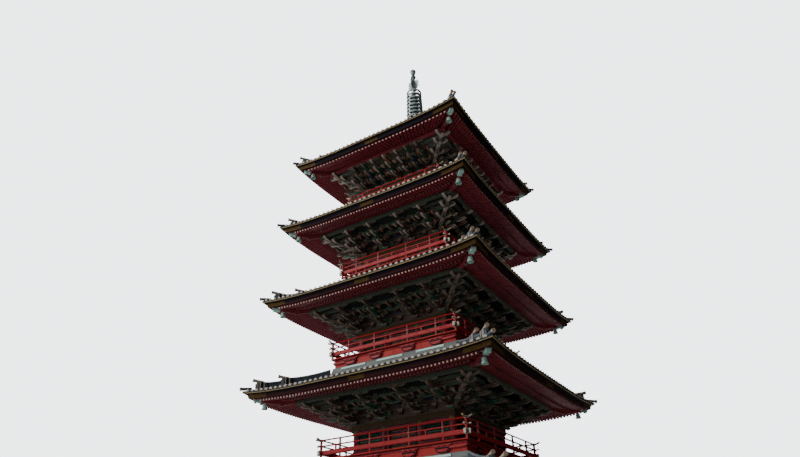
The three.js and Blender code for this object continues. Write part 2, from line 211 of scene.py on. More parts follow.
FLOOR_HALF = 90
SQUARE = ((-1, -1), (1, -1), (1, 1), (-1, 1))
floor_mesh = bpy.data.meshes.new("floor")
floor_mesh.from_pydata([(x * FLOOR_HALF, y * FLOOR_HALF, -0.001) for x, y in SQUARE], [], [(0, 1, 2, 3)])
ground = bpy.data.objects.new("floor", floor_mesh)
bpy.context.scene.collection.objects.link(ground)
floor_mesh.materials.append(finish("pale_floor", (0.42, 0.41, 0.4), (0.38, 0.37, 0.36), rough=0.8, grain=2.0))


# Podium and stone steps: courses of dressed granite blocks with fine joints under a projecting cap course,
# paving slabs on top, and a flight of solid stone treads. Every block is set with a small gap and soft edges.
POINT = 0.002
CORNERS = (0.5, 1.5, 2.5, 3.5)


class Shape:
    """Corners and faces of one piece while it is made, each face with its finish."""

    def __init__(self):
        self.corners = []
        self.faces = []
        self.finishes = []
        self.marks = []

    def add(self, corners, groups):
        """Faces in groups of (faces, finish), turned to point outwards."""
        corners = [Vector(corner) for corner in corners]
        middle = corners[0]
        volume = 0
        for faces, material in groups:
            for face in faces:
                first = corners[face[0]] - middle
                for a, b in zip(face[1:], face[2:]):
                    volume += first.dot((corners[a] - middle).cross(corners[b] - middle))
        start = len(self.corners)
        self.corners += corners
        for faces, material in groups:
            if material not in self.finishes:
                self.finishes.append(material)
            mark = self.finishes.index(material)
            for face in faces:
                self.faces.append([start + n for n in (face if volume >= 0 else face[::-1])])
                self.marks.append(mark)

    def loft(self, rings, material, cap=None, capped=True):
        """Skin through rings of corners, its two ends filled, maybe in a finish of their own."""
        count = len(rings[0])
        faces = [(row * count + n, row * count + (n + 1) % count, (row + 1) * count + (n + 1) % count,
                  (row + 1) * count + n) for row in range(len(rings) - 1) for n in range(count)]
        last = (len(rings) - 1) * count
        ends = [tuple(reversed(range(count))), tuple(range(last, last + count))]
        groups = [(faces, material), (ends, cap or material)] if capped else [(faces, material)]
        self.add([corner for ring in rings for corner in ring], groups)

    def block(self, low, high, material, edge=0.0):
        """A box between two corners; an edge wider than 0 bevels its upright and level edges."""
        (x0, y0, z0), (x1, y1, z1) = low, high
        levels = ((z0, edge), (z0 + edge, 0), (z1 - edge, 0), (z1, edge)) if edge else ((z0, 0), (z1, 0))
        self.loft([[(x0 + e, y0 + e, z), (x1 - e, y0 + e, z), (x1 - e, y1 - e, z), (x0 + e, y1 - e, z)]
                   for z, e in levels], material)

    def post(self, x, y, half, low, high, material, edge=0.0):
        """A square post or plate about an upright axis."""
        self.block((x - half, y - half, low), (x + half, y + half, high), material, edge)

    def prism(self, outline, width, material, at=(0, 0, 0)):
        """An outline of (out, height) points facing the front, with a width across x, moved to its place."""
        x, y, z = at
        self.loft([[(x + hand * width / 2, y - out, z + high) for out, high in outline]
                   for hand in (-1, 1)], material)

    def turned(self, profile, material, sides=16, at=(0, 0, 0)):
        """A profile of (radius, height) points turned about an upright axis. One that ends where it starts is
        a ring."""
        x, y, base = at
        angles = [2 * pi * n / sides for n in range(sides)]
        self.loft([[(x + max(r, POINT) * cos(a), y + max(r, POINT) * sin(a), base + z) for a in angles]
                   for r, z in profile], material, capped=profile[0] != profile[-1])

    def join(self, other, matrix=Matrix()):
        start = len(self.corners)
        self.corners += [matrix @ corner for corner in other.corners]
        self.faces += [[start + n for n in face] for face in other.faces]
        for material in other.finishes:
            if material not in self.finishes:
                self.finishes.append(material)
        renumbered = [self.finishes.index(material) for material in other.finishes]
        self.marks += [renumbered[mark] for mark in other.marks]

    def around(self, other, turns=(0, 1, 2, 3), start=Matrix()):
        """Another shape, made for the front, on the sides named by their quarter turns."""
        for turn in turns:
            self.join(other, Matrix.Rotation(turn * pi / 2, 4, "Z") @ start)

    def take(self, mesh):
        """A plain mesh made by a geometry tree."""
        other = Shape()
        other.corners = [vertex.co.copy() for vertex in mesh.vertices]
        other.faces = [list(polygon.vertices) for polygon in mesh.polygons]
        other.finishes = list(mesh.materials)
        other.marks = [polygon.material_index for polygon in mesh.polygons]
        self.join(other)


def encircle(side, corner=None):
    """A shape made for the front on all four sides, and maybe another one at the four corners."""
    whole = Shape()
    whole.around(side)
    if corner:
        whole.around(corner, CORNERS)
    return whole


def place(name, shape, slot, *replaced):
    """The shape becomes a piece that rides with the tower and stands for the nodes named."""
    mesh = bpy.data.meshes.new(name)
    mesh.from_pydata(shape.corners, [], shape.faces)
    for material in shape.finishes:
        mesh.materials.append(material)
    mesh.polygons.foreach_set("material_index", shape.marks)
    mesh.polygons.foreach_set("use_smooth", [True] * len(shape.marks))
    mesh.set_sharp_from_angle(angle=radians(35))
    piece = bpy.data.objects.new(name, mesh)
    bpy.context.scene.collection.objects.link(piece)
    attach(piece, "root")
    if replaced:
        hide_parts(*replaced)


def pits(net, spot):
    """Fine pits of a dressed stone face."""
    return net.add("ShaderNodeTexVoronoi", {}, {"Vector": spot, "Scale": 45.0}, out="Distance")


granite = finish("granite", (0.36, 0.35, 0.32), (0.2, 0.2, 0.17), rough=0.8, grain=30, bump=0.006,
                 relief=pits)
PODIUM_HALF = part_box("podium")[1].x
PODIUM_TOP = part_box("podium")[1].z
COURSE_TALL = 0.31
CAP_TALL = 0.18
CAP_PROUD = 0.09
STONE_DEPTH = 0.5
SLAB_TALL = 0.06
CORE_INSET = 0.05
JOINT = 0.008
WORN_EDGE = 0.01
BLOCKS = 9
SLABS = 11

podium = Shape()
wall_face = PODIUM_HALF - CAP_PROUD
cap_low = PODIUM_TOP - CAP_TALL
podium.post(0, 0, wall_face - CORE_INSET, 0.01, PODIUM_TOP - CORE_INSET, granite)
side = Shape()
for low, high, reach, shift in ((0.0, COURSE_TALL, wall_face, 0.0), (COURSE_TALL, cap_low, wall_face, 0.5),
                                (cap_low, PODIUM_TOP, PODIUM_HALF, 0.25)):
    cuts = [-reach] + [(2 * (n + shift) / BLOCKS - 1) * reach for n in range(1 - ceil(shift), BLOCKS)] + [
        reach - STONE_DEPTH]
    for x0, x1 in zip(cuts, cuts[1:]):
        side.block((x0 + JOINT, -reach, low), (x1, STONE_DEPTH - reach, high), granite, WORN_EDGE)
podium.around(side)
inner = PODIUM_HALF - STONE_DEPTH
size = 2 * inner / SLABS
for row in range(SLABS):
    for column in range(SLABS):
        x, y = column * size - inner, row * size - inner
        podium.block((x, y, PODIUM_TOP - SLAB_TALL), (x + size - JOINT, y + size - JOINT, PODIUM_TOP),
                     granite, WORN_EDGE)
place("podium_blocks", podium, "dressed_stone", "podium")


def flight(node, treads, material, nosing, slab):
    """Steps up to the front, each a riser set back under the slab that lies on it."""
    low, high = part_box(node)
    steps = Shape()
    rise = (high.z - low.z) / treads
    for n in range(treads):
        front = low.y + n * (high.y - low.y) / treads
        z = low.z + n * rise
        steps.block((low.x + 0.01, front + 0.02, z), (high.x - 0.01, high.y, z + rise - slab), material)
        steps.block((low.x, front, z + rise - slab), (high.x, high.y, z + rise), material, nosing)
    return steps


place("stone_treads", flight("stone_steps", 3, granite, 0.012, 0.17), "dressed_stone", "stone_steps")


# Veranda: a floor of lacquered boards laid square to the walls, on an edge beam and short posts in gilt shoes
# that stand on the podium, with a closed flight of wooden steps up to it from the front.
BOARD_WIDE = 0.24
SEAM_SHARE = 0.04


def boards(net, spot):
    """Height of boards laid side by side, with a narrow joint between them."""
    x, y = net.split(spot)[:2]
    share = net.math("FRACT", net.math("MINIMUM", abs(x), abs(y)) / BOARD_WIDE)
    return net.math("GREATER_THAN", share, SEAM_SHARE)


crimson = finish("crimson_lacquer", (0.31, 0.048, 0.06), (0.18, 0.034, 0.042), rough=0.6, grain=14,
                 shine=0.12)
crimson_boards = finish("crimson_boards", (0.2, 0.018, 0.022), (0.12, 0.014, 0.014), rough=0.6, relief=boards)
vermilion = finish("vermilion_lacquer", (0.48, 0.011, 0.014), (0.38, 0.018, 0.018), rough=0.5, grain=14,
                   shine=0.2)
gilt = finish("gilt_copper", (0.6, 0.38, 0.13), (0.36, 0.24, 0.1), rough=0.45, metal=0.7, grain=30,
              bump=0.003)
VERANDA_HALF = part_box("veranda")[1].x
VERANDA_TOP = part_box("veranda")[1].z
SEAT = 0.0003

veranda = Shape()
veranda.post(0, 0, VERANDA_HALF, VERANDA_TOP - 0.05, VERANDA_TOP, crimson_boards, 0.008)
veranda.post(0, 0, VERANDA_HALF - 0.03, VERANDA_TOP - 0.12, VERANDA_TOP - 0.05, vermilion)
side = Shape()
beam_end = VERANDA_HALF - 0.17
beam_low = VERANDA_TOP - 0.3
side.block((-beam_end, -beam_end, beam_low), (beam_end, 0.18 - beam_end, VERANDA_TOP - 0.12), crimson, 0.008)
line = VERANDA_HALF - 0.26
foot = PODIUM_TOP + SEAT
for share in (-1, -0.36, 0.36):
    side.post(share * line, -line, 0.08, foot, beam_low, crimson, 0.012)
    side.post(share * line, -line, 0.083, foot, foot + 0.1, gilt, 0.004)
veranda.around(side)
place("veranda_boards", veranda, "crimson_lacquer", "veranda")
place("wooden_treads", flight("wooden_steps", 3, vermilion, 0.01, 0.045), "vermilion_lacquer", "wooden_steps")


# Railings: on every floor a broad ground rail, a slim middle rail and a round top rail on square posts, with
# short struts between, wrapped in sheet metal where they cross. The rails run on past the corners: the level
# ones end in pale metal sleeves, and the top one turns up to a gilt tip.
EAVE_HEIGHT, EAVE_LIFT = 6.8, 0.25
STOREY_RISE, RISE_LOSS = 5.11, 0.18
EAVE_HALF, EAVE_TAPER, TAPER_GAIN = 7.2, 0.35, 0.03
BODY_HALF, BODY_TAPER = 3.105, 0.177
RAIL_HALF, RAIL_TAPER = 4.287, 0.297
FLOOR_DROP, DROP_LOSS = 3.17, 0.09
WAIST_INSET, SILL_PAST = 0.1, 0.15


def storey(k):
    """Levels and half widths of one storey, in metres from the ground and from the axis."""
    n = k - 1
    pairs = n * (n - 1) / 2
    s = SimpleNamespace(k=k)
    s.corner = EAVE_HEIGHT + n * STOREY_RISE - pairs * RISE_LOSS
    s.half = EAVE_HALF - n * EAVE_TAPER - pairs * TAPER_GAIN
    s.body = BODY_HALF - n * BODY_TAPER
    s.reach = s.half - s.body
    s.eave = s.corner - EAVE_LIFT
    s.floor = VERANDA_TOP if k == 1 else s.corner - FLOOR_DROP + (n - 1) * DROP_LOSS
    s.rail = RAIL_HALF - n * RAIL_TAPER
    s.column = s.body * 0.35
    s.beam_bottom = s.eave - 1.62
    s.base = s.eave - 1.29
    s.step = s.reach / 6
    s.purlin = s.body + s.reach / 2
    s.purlin_top = s.eave - 0.14
    s.boarding = s.eave + 0.48
    s.tip = s.half - 0.35
    s.inner_tip = s.body + s.reach * 0.705
    s.sill = s.eave + 0.68
    s.waist = RAIL_HALF - k * RAIL_TAPER - WAIST_INSET
    s.flat = s.waist + SILL_PAST
    return s


STOREYS = [storey(k) for k in range(1, 6)]
pale_metal = finish("pale_metal", (0.42, 0.4, 0.33), (0.26, 0.26, 0.21), rough=0.5, metal=0.4, grain=40,
                    bump=0.003)
dull_metal = finish("dull_metal", (0.2, 0.14, 0.12), (0.14, 0.1, 0.09), rough=0.55, metal=0.3, grain=40,
                    bump=0.003)
TOP_RAIL = 0.872
RAIL_PAST = 0.33
GATE = 2.3


def moved(x=0.0, y=0.0, z=0.0, turn=0.0):
    """A place, with a turn about the upright axis given in quarter turns."""
    return Matrix.Translation((x, y, z)) @ Matrix.Rotation(turn * pi / 2, 4, "Z")


def bar(shape, start, end, radius, material, cap=None, sides=8):
    """A round bar from one point to another, its ends maybe in another finish."""
    start, end = Vector(start), Vector(end)
    away = (end - start).normalized()
    first = away.orthogonal().normalized() * radius
    second = away.cross(first)
    angles = [2 * pi * n / sides for n in range(sides)]
    shape.loft([[spot + first * cos(a) + second * sin(a) for a in angles] for spot in (start, end)],
               material, cap)


def railing(r, gate):
    """One side of a railing, maybe open at a gate, with y from the line of its rails and z from its floor."""
    side = Shape()
    for x0, x1 in [(-r, -gate / 2), (gate / 2, r)] if gate else [(-r, r)]:
        for out, back, low, high, edge in ((0.042, 0.055, 0.17, 0.38, 0.012),
                                           (0.055, -0.042, 0.2, 0.35, 0.004),
                                           (0.035, 0.035, 0.56, 0.62, 0.01)):
            side.block((x0, -out, low), (x1, back, high), vermilion, edge)
        bar(side, (x0, 0, TOP_RAIL), (x1, 0, TOP_RAIL), 0.038, vermilion)
    for hand in (-1, 1):
        for a, b, wide, low, high, material, edge in (
                (-0.02, 0.2, 0.045, 0.18, 0.37, vermilion, 0.01),
                (0.11, 0.21, 0.055, 0.17, 0.38, pale_metal, 0.008),
                (0, 0.24, 0.03, 0.565, 0.615, vermilion, 0.006),
                (0.16, 0.25, 0.036, 0.558, 0.622, pale_metal, 0.006)):
            x0, x1 = sorted((hand * (r + a), hand * (r + b)))
            side.block((x0, -wide, low), (x1, wide, high), material, edge)
        for a, b, low, high, thick, material in (
                (0, RAIL_PAST - 0.2, 0, 0, 0.038, vermilion),
                (RAIL_PAST - 0.22, RAIL_PAST - 0.01, -0.004, 0.063, 0.046, pale_metal),
                (RAIL_PAST - 0.03, RAIL_PAST, 0.06, 0.07, 0.05, gilt),
                (0.08, -0.08, 0, 0, 0.045, pale_metal)):
            bar(side, (hand * (r + a), 0, TOP_RAIL + low), (hand * (r + b), 0, TOP_RAIL + high), thick,
                material)
    clear = gate / 2 + 0.1 if gate else -1
    for x in (share * r for share in (-0.71, -0.27, 0.27, 0.71)):
        if abs(x) > clear:
            side.post(x, 0, 0.035, 0, 0.85, vermilion, 0.006)
            side.block((x - 0.044, -0.058, 0.365), (x + 0.044, 0.044, 0.43), dull_metal, 0.006)
            side.post(x, 0, 0.042, 0.552, 0.628, dull_metal, 0.004)
    for x in (share * r for share in (-0.49, 0, 0.49)):
        if abs(x) > clear:
            side.block((x - 0.032, -0.03, 0.38), (x + 0.032, 0.03, 0.56), vermilion, 0.006)
    if gate:
        for x in (-gate / 2 - 0.03, gate / 2 + 0.03):
            side.post(x, 0, 0.045, 0, 0.86, vermilion, 0.008)
            side.turned([(0.05, 0), (0.054, 0.02), (0.04, 0.04), (0.012, 0.05)], gilt, 12, (x, 0, 0.86))
    for wide, low, high, material in ((0.045, 0, 0.86, vermilion), (0.07, 0.15, 0.4, pale_metal),
                                      (0.054, 0.55, 0.63, pale_metal), (0.052, 0.82, 0.925, pale_metal)):
        side.post(-r, 0, wide, low, high, material, 0.008)
    return side


for s in STOREYS:
    rails = Shape()
    spot = moved(0, -s.rail, s.floor + SEAT)
    rails.around(railing(s.rail, GATE if s.k == 1 else 0), (0,), spot)
    rails.around(railing(s.rail, 0), (1, 2, 3), spot)
    place(f"rails_{s.k}", rails, "vermilion_lacquer", "veranda_railing" if s.k == 1 else f"railing_{s.k}")


# Walls: boarded panels between round lacquered columns with dull gilt collars, tied by long beams. The middle
# bay of each side has a pair of panelled doors, and each outer bay a green window of upright bars in a frame.
lattice_green = finish("lattice_green", (0.012, 0.12, 0.066), (0.012, 0.06, 0.042), rough=0.45, grain=20)
panel_black = finish("black_lacquer", (0.012, 0.012, 0.016), (0.026, 0.024, 0.026), rough=0.5, grain=20,
                     shine=0.15)
dull_gilt = finish("dull_gilt", (0.15, 0.09, 0.03), (0.1, 0.07, 0.03), rough=0.55, metal=0.4, grain=30,
                   bump=0.003)
COLUMN = 0.165
COLLAR = 0.169
COLUMN_IN = 0.02
WALL_BACK = 0.11
DOOR_HALF, DOOR_TALL, DOOR_PANELS = 0.72, 2.5, 4
BAR_WIDE, BAR_PITCH = 0.045, 0.085


def tree_of(name, sizes, finishes="finish"):
    """A geometry tree with a count, the sizes and the finishes named as its inputs, and those as wires."""
    tree = bpy.data.node_groups.new(name, "GeometryNodeTree")
    kinds = {"count": "Int"}
    kinds.update(dict.fromkeys(sizes.split(), "Float"))
    kinds.update(dict.fromkeys(finishes.split(), "Material"))
    for label, kind in kinds.items():
        tree.interface.new_socket(label, in_out="INPUT", socket_type="NodeSocket" + kind)
    tree.interface.new_socket("Geometry", in_out="OUTPUT", socket_type="NodeSocketGeometry")
    entry = tree.nodes.new("NodeGroupInput")
    net = Net(tree)
    return net, SimpleNamespace(**{label: Wire(net, entry.outputs[label]) for label in kinds})


def stick(net, cuts=2):
    """A stick of unit size along y, with this many rows of corners along it."""
    return net.add("GeometryNodeMeshCube", {}, {"Size": (1, 1, 1), "Vertices Y": cuts})


def row_of(net, given, mesh):
    """A mesh repeated along x and made real, with its own coordinates, and its place in the row."""
    start = net.vector((given.count - 1) * given.pitch * -0.5)
    line = net.add("GeometryNodeMeshLine", {}, {
        "Count": given.count, "Start Location": start, "Offset": net.vector(given.pitch)})
    spot = net.add("GeometryNodeInputPosition")
    kept = net.add("GeometryNodeStoreNamedAttribute", {"data_type": "FLOAT_VECTOR"}, {
        "Geometry": mesh, "Name": "local", "Value": spot})
    rows = net.add("GeometryNodeInstanceOnPoints", {}, {"Points": line, "Instance": kept})
    real = net.add("GeometryNodeRealizeInstances", {}, {0: rows})
    local = net.split(net.add("GeometryNodeInputNamedAttribute", {"data_type": "FLOAT_VECTOR"},
                              {"Name": "local"}))
    return real, local, net.split(spot)[0] - local[0]


def shaped(net, geometry, x, y, z):
    """A geometry with every corner moved to where these wires say."""
    return net.add("GeometryNodeSetPosition", {}, {"Geometry": geometry, "Position": net.vector(x, y, z)})


def coated(net, geometry, finish, where=True):
    """A geometry in a finish, maybe only where a mask says."""
    return net.add("GeometryNodeSetMaterial", {}, {"Geometry": geometry, "Selection": where,
                                                   "Material": finish})


def close_tree(net, geometry):
    net.tree.links.new(geometry.socket, net.tree.nodes.new("NodeGroupOutput").inputs[0])
    return net.tree


def grown(tree, **values):
    """The plain mesh that a geometry tree makes from these values of its inputs."""
    holder = bpy.data.objects.new(tree.name, bpy.data.meshes.new(tree.name))
    bpy.context.scene.collection.objects.link(holder)
    modifier = holder.modifiers.new(tree.name, "NODES")
    modifier.node_group = tree
    for item in tree.interface.items_tree:
        if item.in_out == "INPUT":
            modifier[item.identifier] = values[item.name]
    bpy.context.view_layer.update()
    mesh = bpy.data.meshes.new_from_object(holder.evaluated_get(bpy.context.evaluated_depsgraph_get()))
    holder.modifiers.remove(modifier)
    bpy.data.objects.remove(holder)
    return mesh


def bar_tree():
    """Upright bars of diamond section side by side along x, from a sill to a head."""
    net, given = tree_of("window_bars", "pitch middle out low high thick")
    real, (u, v, w), line = row_of(net, given, stick(net))
    half = given.thick * sqrt(0.5)
    bars = shaped(net, real, line + given.middle + (u - v) * half, (u + v) * half - given.out,
                  given.low + (w + 0.5) * (given.high - given.low))
    return close_tree(net, coated(net, bars, given.finish))


window_bars = bar_tree()
for s in STOREYS:
    b, c = s.body, s.column
    tall = s.beam_bottom - s.floor
    door_half = min(c - COLUMN - 0.06, DOOR_HALF)
    window = (c + b - COLUMN) / 2
    window_half = (b - 2 * COLUMN - c) / 2 - 0.13
    door_top = s.floor + min(tall * 0.86, DOOR_TALL)
    sill = s.floor + tall * 0.3
    middle = (sill + door_top) / 2
    line = b - COLUMN - COLUMN_IN
    low, high = s.floor + SEAT, s.beam_bottom - SEAT
    timber, light = Shape(), Shape()
    for x in (-c, c, line):
        for z, rise, radius, paint in (
                (low, high - low, COLUMN, crimson), (low, 0.12, COLLAR, dull_gilt),
                (low + 0.3, 0.03, COLLAR, dull_gilt), (high - 0.36, 0.03, COLLAR, dull_gilt),
                (high - 0.14, 0.14, COLLAR, dull_gilt)):
            timber.turned([(radius, 0), (radius, rise)], paint, 20, (x, b - WALL_BACK - line, z))
    for x0, x1, z, width in ((-b, b, low, 0.16), (-b, b, door_top + 0.02, 0.13), (-b, -c, sill - 0.15, 0.12),
                             (c, b, sill - 0.15, 0.12)):
        timber.block((x0 + 0.06, -0.075, z), (x1 - 0.06, 0, z + width), crimson, 0.008)
    for x in (-c, c, -line, line):
        for z in (door_top + 0.085, low + 0.08):
            timber.block((x - 0.13, -0.08, z - 0.05), (x + 0.13, -0.07, z + 0.05), dull_gilt, 0.003)
    for x, wide, bottom in ((0, door_half, low), (-window, window_half, sill), (window, window_half, sill)):
        for jamb in (x - wide - 0.03, x + wide + 0.03):
            timber.block((jamb - 0.05, -0.05, bottom), (jamb + 0.05, 0.05, door_top + 0.03), panel_black,
                         0.006)
        timber.block((x - wide, -0.05, door_top - 0.04), (x + wide, 0.05, door_top + 0.03), panel_black,
                     0.006)
    for x in (-window, window):
        x0, x1 = x - window_half, x + window_half
        timber.block((x0, -0.05, sill - 0.03), (x1, 0.05, sill + 0.05), panel_black, 0.006)
        light.take(grown(window_bars, count=floor(2 * window_half / BAR_PITCH), pitch=BAR_PITCH, middle=x,
                         out=-0.02, low=sill, high=door_top, thick=BAR_WIDE, finish=lattice_green))
        light.block((x0, 0.08, sill), (x1, 0.1, door_top), lattice_green)
        light.block((x0, -0.005, middle - 0.03), (x1, 0.045, middle + 0.03), lattice_green, 0.005)
    pitch = (door_top - low - 0.1) / DOOR_PANELS
    for hand in (-1, 1):
        x0, x1 = sorted((hand * 0.004, hand * door_half))
        light.block((x0, 0.05, low), (x1, 0.09, door_top), crimson)
        for row in range(DOOR_PANELS):
            z = low + 0.08 + row * pitch
            light.block((x0 + 0.07, 0.035, z), (x1 - 0.07, 0.055, z + pitch - 0.08), panel_black, 0.008)
            light.block((x0 + 0.01, 0.04, z + pitch - 0.06), (x1 - 0.01, 0.052, z + pitch - 0.02),
                        dull_gilt, 0.003)
    for name, kind, side in (("columns", "crimson_lacquer", timber), ("screens", "green_lattice", light)):
        joined = Shape()
        joined.around(side, start=moved(0, WALL_BACK - b))
        place(f"{name}_{s.k}", joined, kind)
    for node, dress in (("walls", crimson_boards), ("shutters", crimson)):
        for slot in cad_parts[f"{node}_{s.k}"].material_slots:
            slot.material = dress


# Bracket tiers: on the painted head beam, three steps of arms and bearing blocks reach out over each column
# to the eave purlin, with ribbed coves between the steps and long leaf-ended arms at the corners. The top
# storey has sets between its columns too. Its paints and the fourth storey's are paler, as painted light.
def facets(net, spot):
    """Shallow carved hollows."""
    return net.add("ShaderNodeTexVoronoi", {"feature": "SMOOTH_F1"}, {"Vector": spot, "Scale": 16.0},
                   out="Distance")


def petals(net, spot):
    """Rings of petals painted side by side, as a mask of their outlines."""
    cells = net.add("ShaderNodeTexVoronoi", {}, {"Vector": spot, "Scale": 7.0}, out="Distance")
    return patch(net, net.math("SINE", cells * 32.0), 0.1, 0.5)


def distemper(name, colour, worn, second=None, share=1.0, rough=0.7, **more):
    """Matt paint on carved wood, with petals outlined in a share of a second colour."""
    rings = (lambda net, spot: petals(net, spot) * share) if second else None
    return finish(name, colour, worn, rough=rough, grain=26, tint=rings, second=second, **more)


emerald = distemper("emerald_paint", (0.02, 0.16, 0.1), (0.055, 0.11, 0.085), (0.12, 0.13, 0.08), 0.3)
azure = distemper("azure_paint", (0.035, 0.07, 0.2), (0.055, 0.075, 0.13), (0.13, 0.11, 0.08), 0.4)
tan = distemper("tan_paint", (0.25, 0.195, 0.14), (0.17, 0.14, 0.105))
clay = distemper("clay_paint", (0.32, 0.23, 0.17), (0.22, 0.165, 0.12), (0.2, 0.17, 0.12))
rust = distemper("rust_paint", (0.42, 0.2, 0.1), (0.28, 0.15, 0.08))
# A pale tan for the brackets of the upper storeys: painted light that stands in for the brighter light there.
lit_tan = distemper("lit_tan_paint", (0.64, 0.53, 0.43), (0.42, 0.36, 0.29), (0.38, 0.34, 0.27))
ochre = distemper("ochre_paint", (0.1, 0.062, 0.028), (0.07, 0.05, 0.028), (0.045, 0.035, 0.02), rough=0.8,
                  bump=0.008, shine=0.1, relief=facets)
umber = distemper("umber_paint", (0.1, 0.055, 0.05), (0.062, 0.05, 0.046), (0.11, 0.08, 0.06))
moss = distemper("moss_paint", (0.055, 0.1, 0.07), (0.07, 0.08, 0.055), (0.11, 0.09, 0.06), bump=0.008,
                 relief=facets)
# A pale sage in place of moss on the top storey: painted light that stands in for the brighter light there.
lit_sage = distemper("lit_sage_paint", (0.15, 0.2, 0.17), (0.18, 0.17, 0.13), (0.13, 0.11, 0.08), bump=0.008,
                 relief=facets)
cove_green = distemper("cove_green", (0.04, 0.11, 0.08), (0.055, 0.085, 0.065), (0.09, 0.08, 0.055))
fascia_black = finish("fascia_black", (0.01, 0.009, 0.015), (0.018, 0.017, 0.026), rough=0.75, grain=20,
                      shine=0.08)
ARM_WIDE, ARM_TALL, BLOCK_TALL = 0.13, 0.16, 0.12
TIER = ARM_TALL + BLOCK_TALL
FIELD_INSET = 0.014
RIB_PITCH = 0.13
DIAGONAL = sqrt(2)


def boat(length, tall, inset=0.0):
    """Outline of an arm whose two ends curve up from below, shrunk all round by an inset."""
    h, t = length / 2 - inset, tall - inset
    right = [(h - 0.2, inset), (h - 0.11, 0.1 * tall + inset), (h - 0.03, 0.32 * tall + inset),
             (h, 0.6 * tall), (h, t)]
    return [(-u, z) for u, z in reversed(right)] + right


def leaf(length, tall, inset=0.0):
    """Outline of an arm that starts square at 0 and ends in an upturned leaf point."""
    h, t = length - inset, tall - inset
    return [(0, inset), (h - 0.3, inset), (h - 0.18, 0.01 + inset), (h - 0.07, 0.045 + inset),
            (h, 0.5 * tall + 0.02), (h - 0.06, t + 0.01 - inset), (h - 0.17, t + 0.005 - inset),
            (h - 0.3, t), (0, t)]


def painted(outline, field, edge, width=ARM_WIDE):
    """An arm in its edge paint with a coloured field on each side. outline(inset) gives its shape."""
    arm = Shape()
    arm.prism(outline(0.0), width, edge)
    arm.prism(outline(FIELD_INSET), width + 0.008, field)
    return arm


def bearing(size, tall, material, edge=tan):
    """A square bearing block, upright above and cut in below, standing on its middle."""
    cup = Shape()
    for (w0, h0), (w1, h1), paint in (((0.7, 0.0), (0.86, 0.3), material),
                                      ((0.86, 0.3), (1.0, 0.45), material), ((1.0, 0.45), (1.0, 1.0), edge)):
        cup.loft([[(x * size * w / 2, y * size * w / 2, h * tall) for x, y in SQUARE]
                  for w, h in ((w0, h0), (w1, h1))], paint)
    return cup


def plane_of(s, tier):
    """How far from the axis a tier's lateral arms stand."""
    return (s.body - 0.06, s.body + s.step - 0.1, s.body + 2 * s.step - 0.1, s.purlin)[tier]


def nosed(shape, x, y, z, turn, shaft, nose, paint, edge=tan, scale=1.0):
    """An arm from a point outwards: a shaft in one paint, and a leaf nose edged in another beyond it."""
    arm = Shape()
    arm.prism([(0, 0), (shaft, 0), (shaft, ARM_TALL), (0, ARM_TALL)], ARM_WIDE, paint)
    tip = painted(lambda i: leaf(nose, ARM_TALL * scale, i * 1.6), paint, edge, ARM_WIDE * scale)
    arm.join(tip, moved(0, -shaft, -0.01))
    shape.join(arm, moved(x, y, z, turn))


def cluster(s, stretch, paints, edge=tan):
    """Blocks and arms over one column, at x = 0, reaching out to the front, farther when stretched. On the
    two lower tiers a short splayed nose stands on each side."""
    made = Shape()
    start = plane_of(s, 0) * stretch
    made.join(bearing(0.36, 0.16, paints[0]), moved(0, -start, s.base))
    for tier, nose, block_tall in ((1, 0.5, BLOCK_TALL), (2, 0.56, BLOCK_TALL), (3, 0.3, 0.09)):
        out = plane_of(s, tier) * stretch
        z = s.base + 0.12 + (tier - 1) * TIER
        paint = paints[tier % 2]
        nosed(made, 0, -start, z, 0, out - start, nose * sqrt(stretch), paint, edge, 0.9)
        made.join(bearing(0.22, block_tall, paint), moved(0, -out, z + ARM_TALL))
        if tier < 3:
            # On storeys 4 and 5 the right-hand noses are rimmed in rust: partly an orange paint, partly
            # painted light.
            for hand, paint, rim in ((-1, emerald, edge),
                                     (1, azure if tier == 1 else umber, rust if s.k > 3 else tan)):
                nosed(made, hand * (0.12 + 0.14 * tier), -out + 0.08, z + 0.15, hand * 0.16, 0.1,
                      0.44 - 0.08 * tier, paint, rim, 0.7)
    return made


def lateral(paint, length, blocks=(), tall=ARM_TALL):
    """An arm along the wall with bearing blocks on it."""
    made = Shape()
    made.join(painted(lambda i: boat(length, tall, i), paint, tan), moved(turn=1))
    for share in blocks:
        made.join(bearing(0.2, BLOCK_TALL, paint), moved(share * (length / 2 - 0.1), 0, tall))
    return made


def cove_tree():
    """Curved ribs side by side along x, from one level and reach to another."""
    net, given = tree_of("cove_ribs", "pitch out end low high thick")
    real, (u, v, w), line = row_of(net, given, stick(net, 5))
    share = 0.5 - v
    out = given.out + (given.end - given.out) * share
    rise = given.low + (given.high - given.low) * (share ** 0.5) + w * given.thick
    return close_tree(net, coated(net, shaped(net, real, line + u * given.thick, 0 - out, rise),
                                  given.finish))


def strip(shape, profile, stations, material, lift=None):
    """A closed profile of (half width, height) points carried along the front through stations from -1 to 1,
    so that it meets its neighbours at the corners on the mitre. lift(t, half) raises it."""
    shape.loft([[(half * t, -half, z + (lift(t, half) if lift else 0)) for half, z in profile]
                for t in stations],
               material)


def beam(shape, reach, deep, low, high, material, edge=0.012):
    """A beam round the tower at a reach from the axis, on the front."""
    a, b = reach - deep / 2, reach + deep / 2
    strip(shape, [(a, low + edge), (a + edge, low), (b - edge, low), (b, low + edge), (b, high), (a, high)],
          (-1, 1), material)


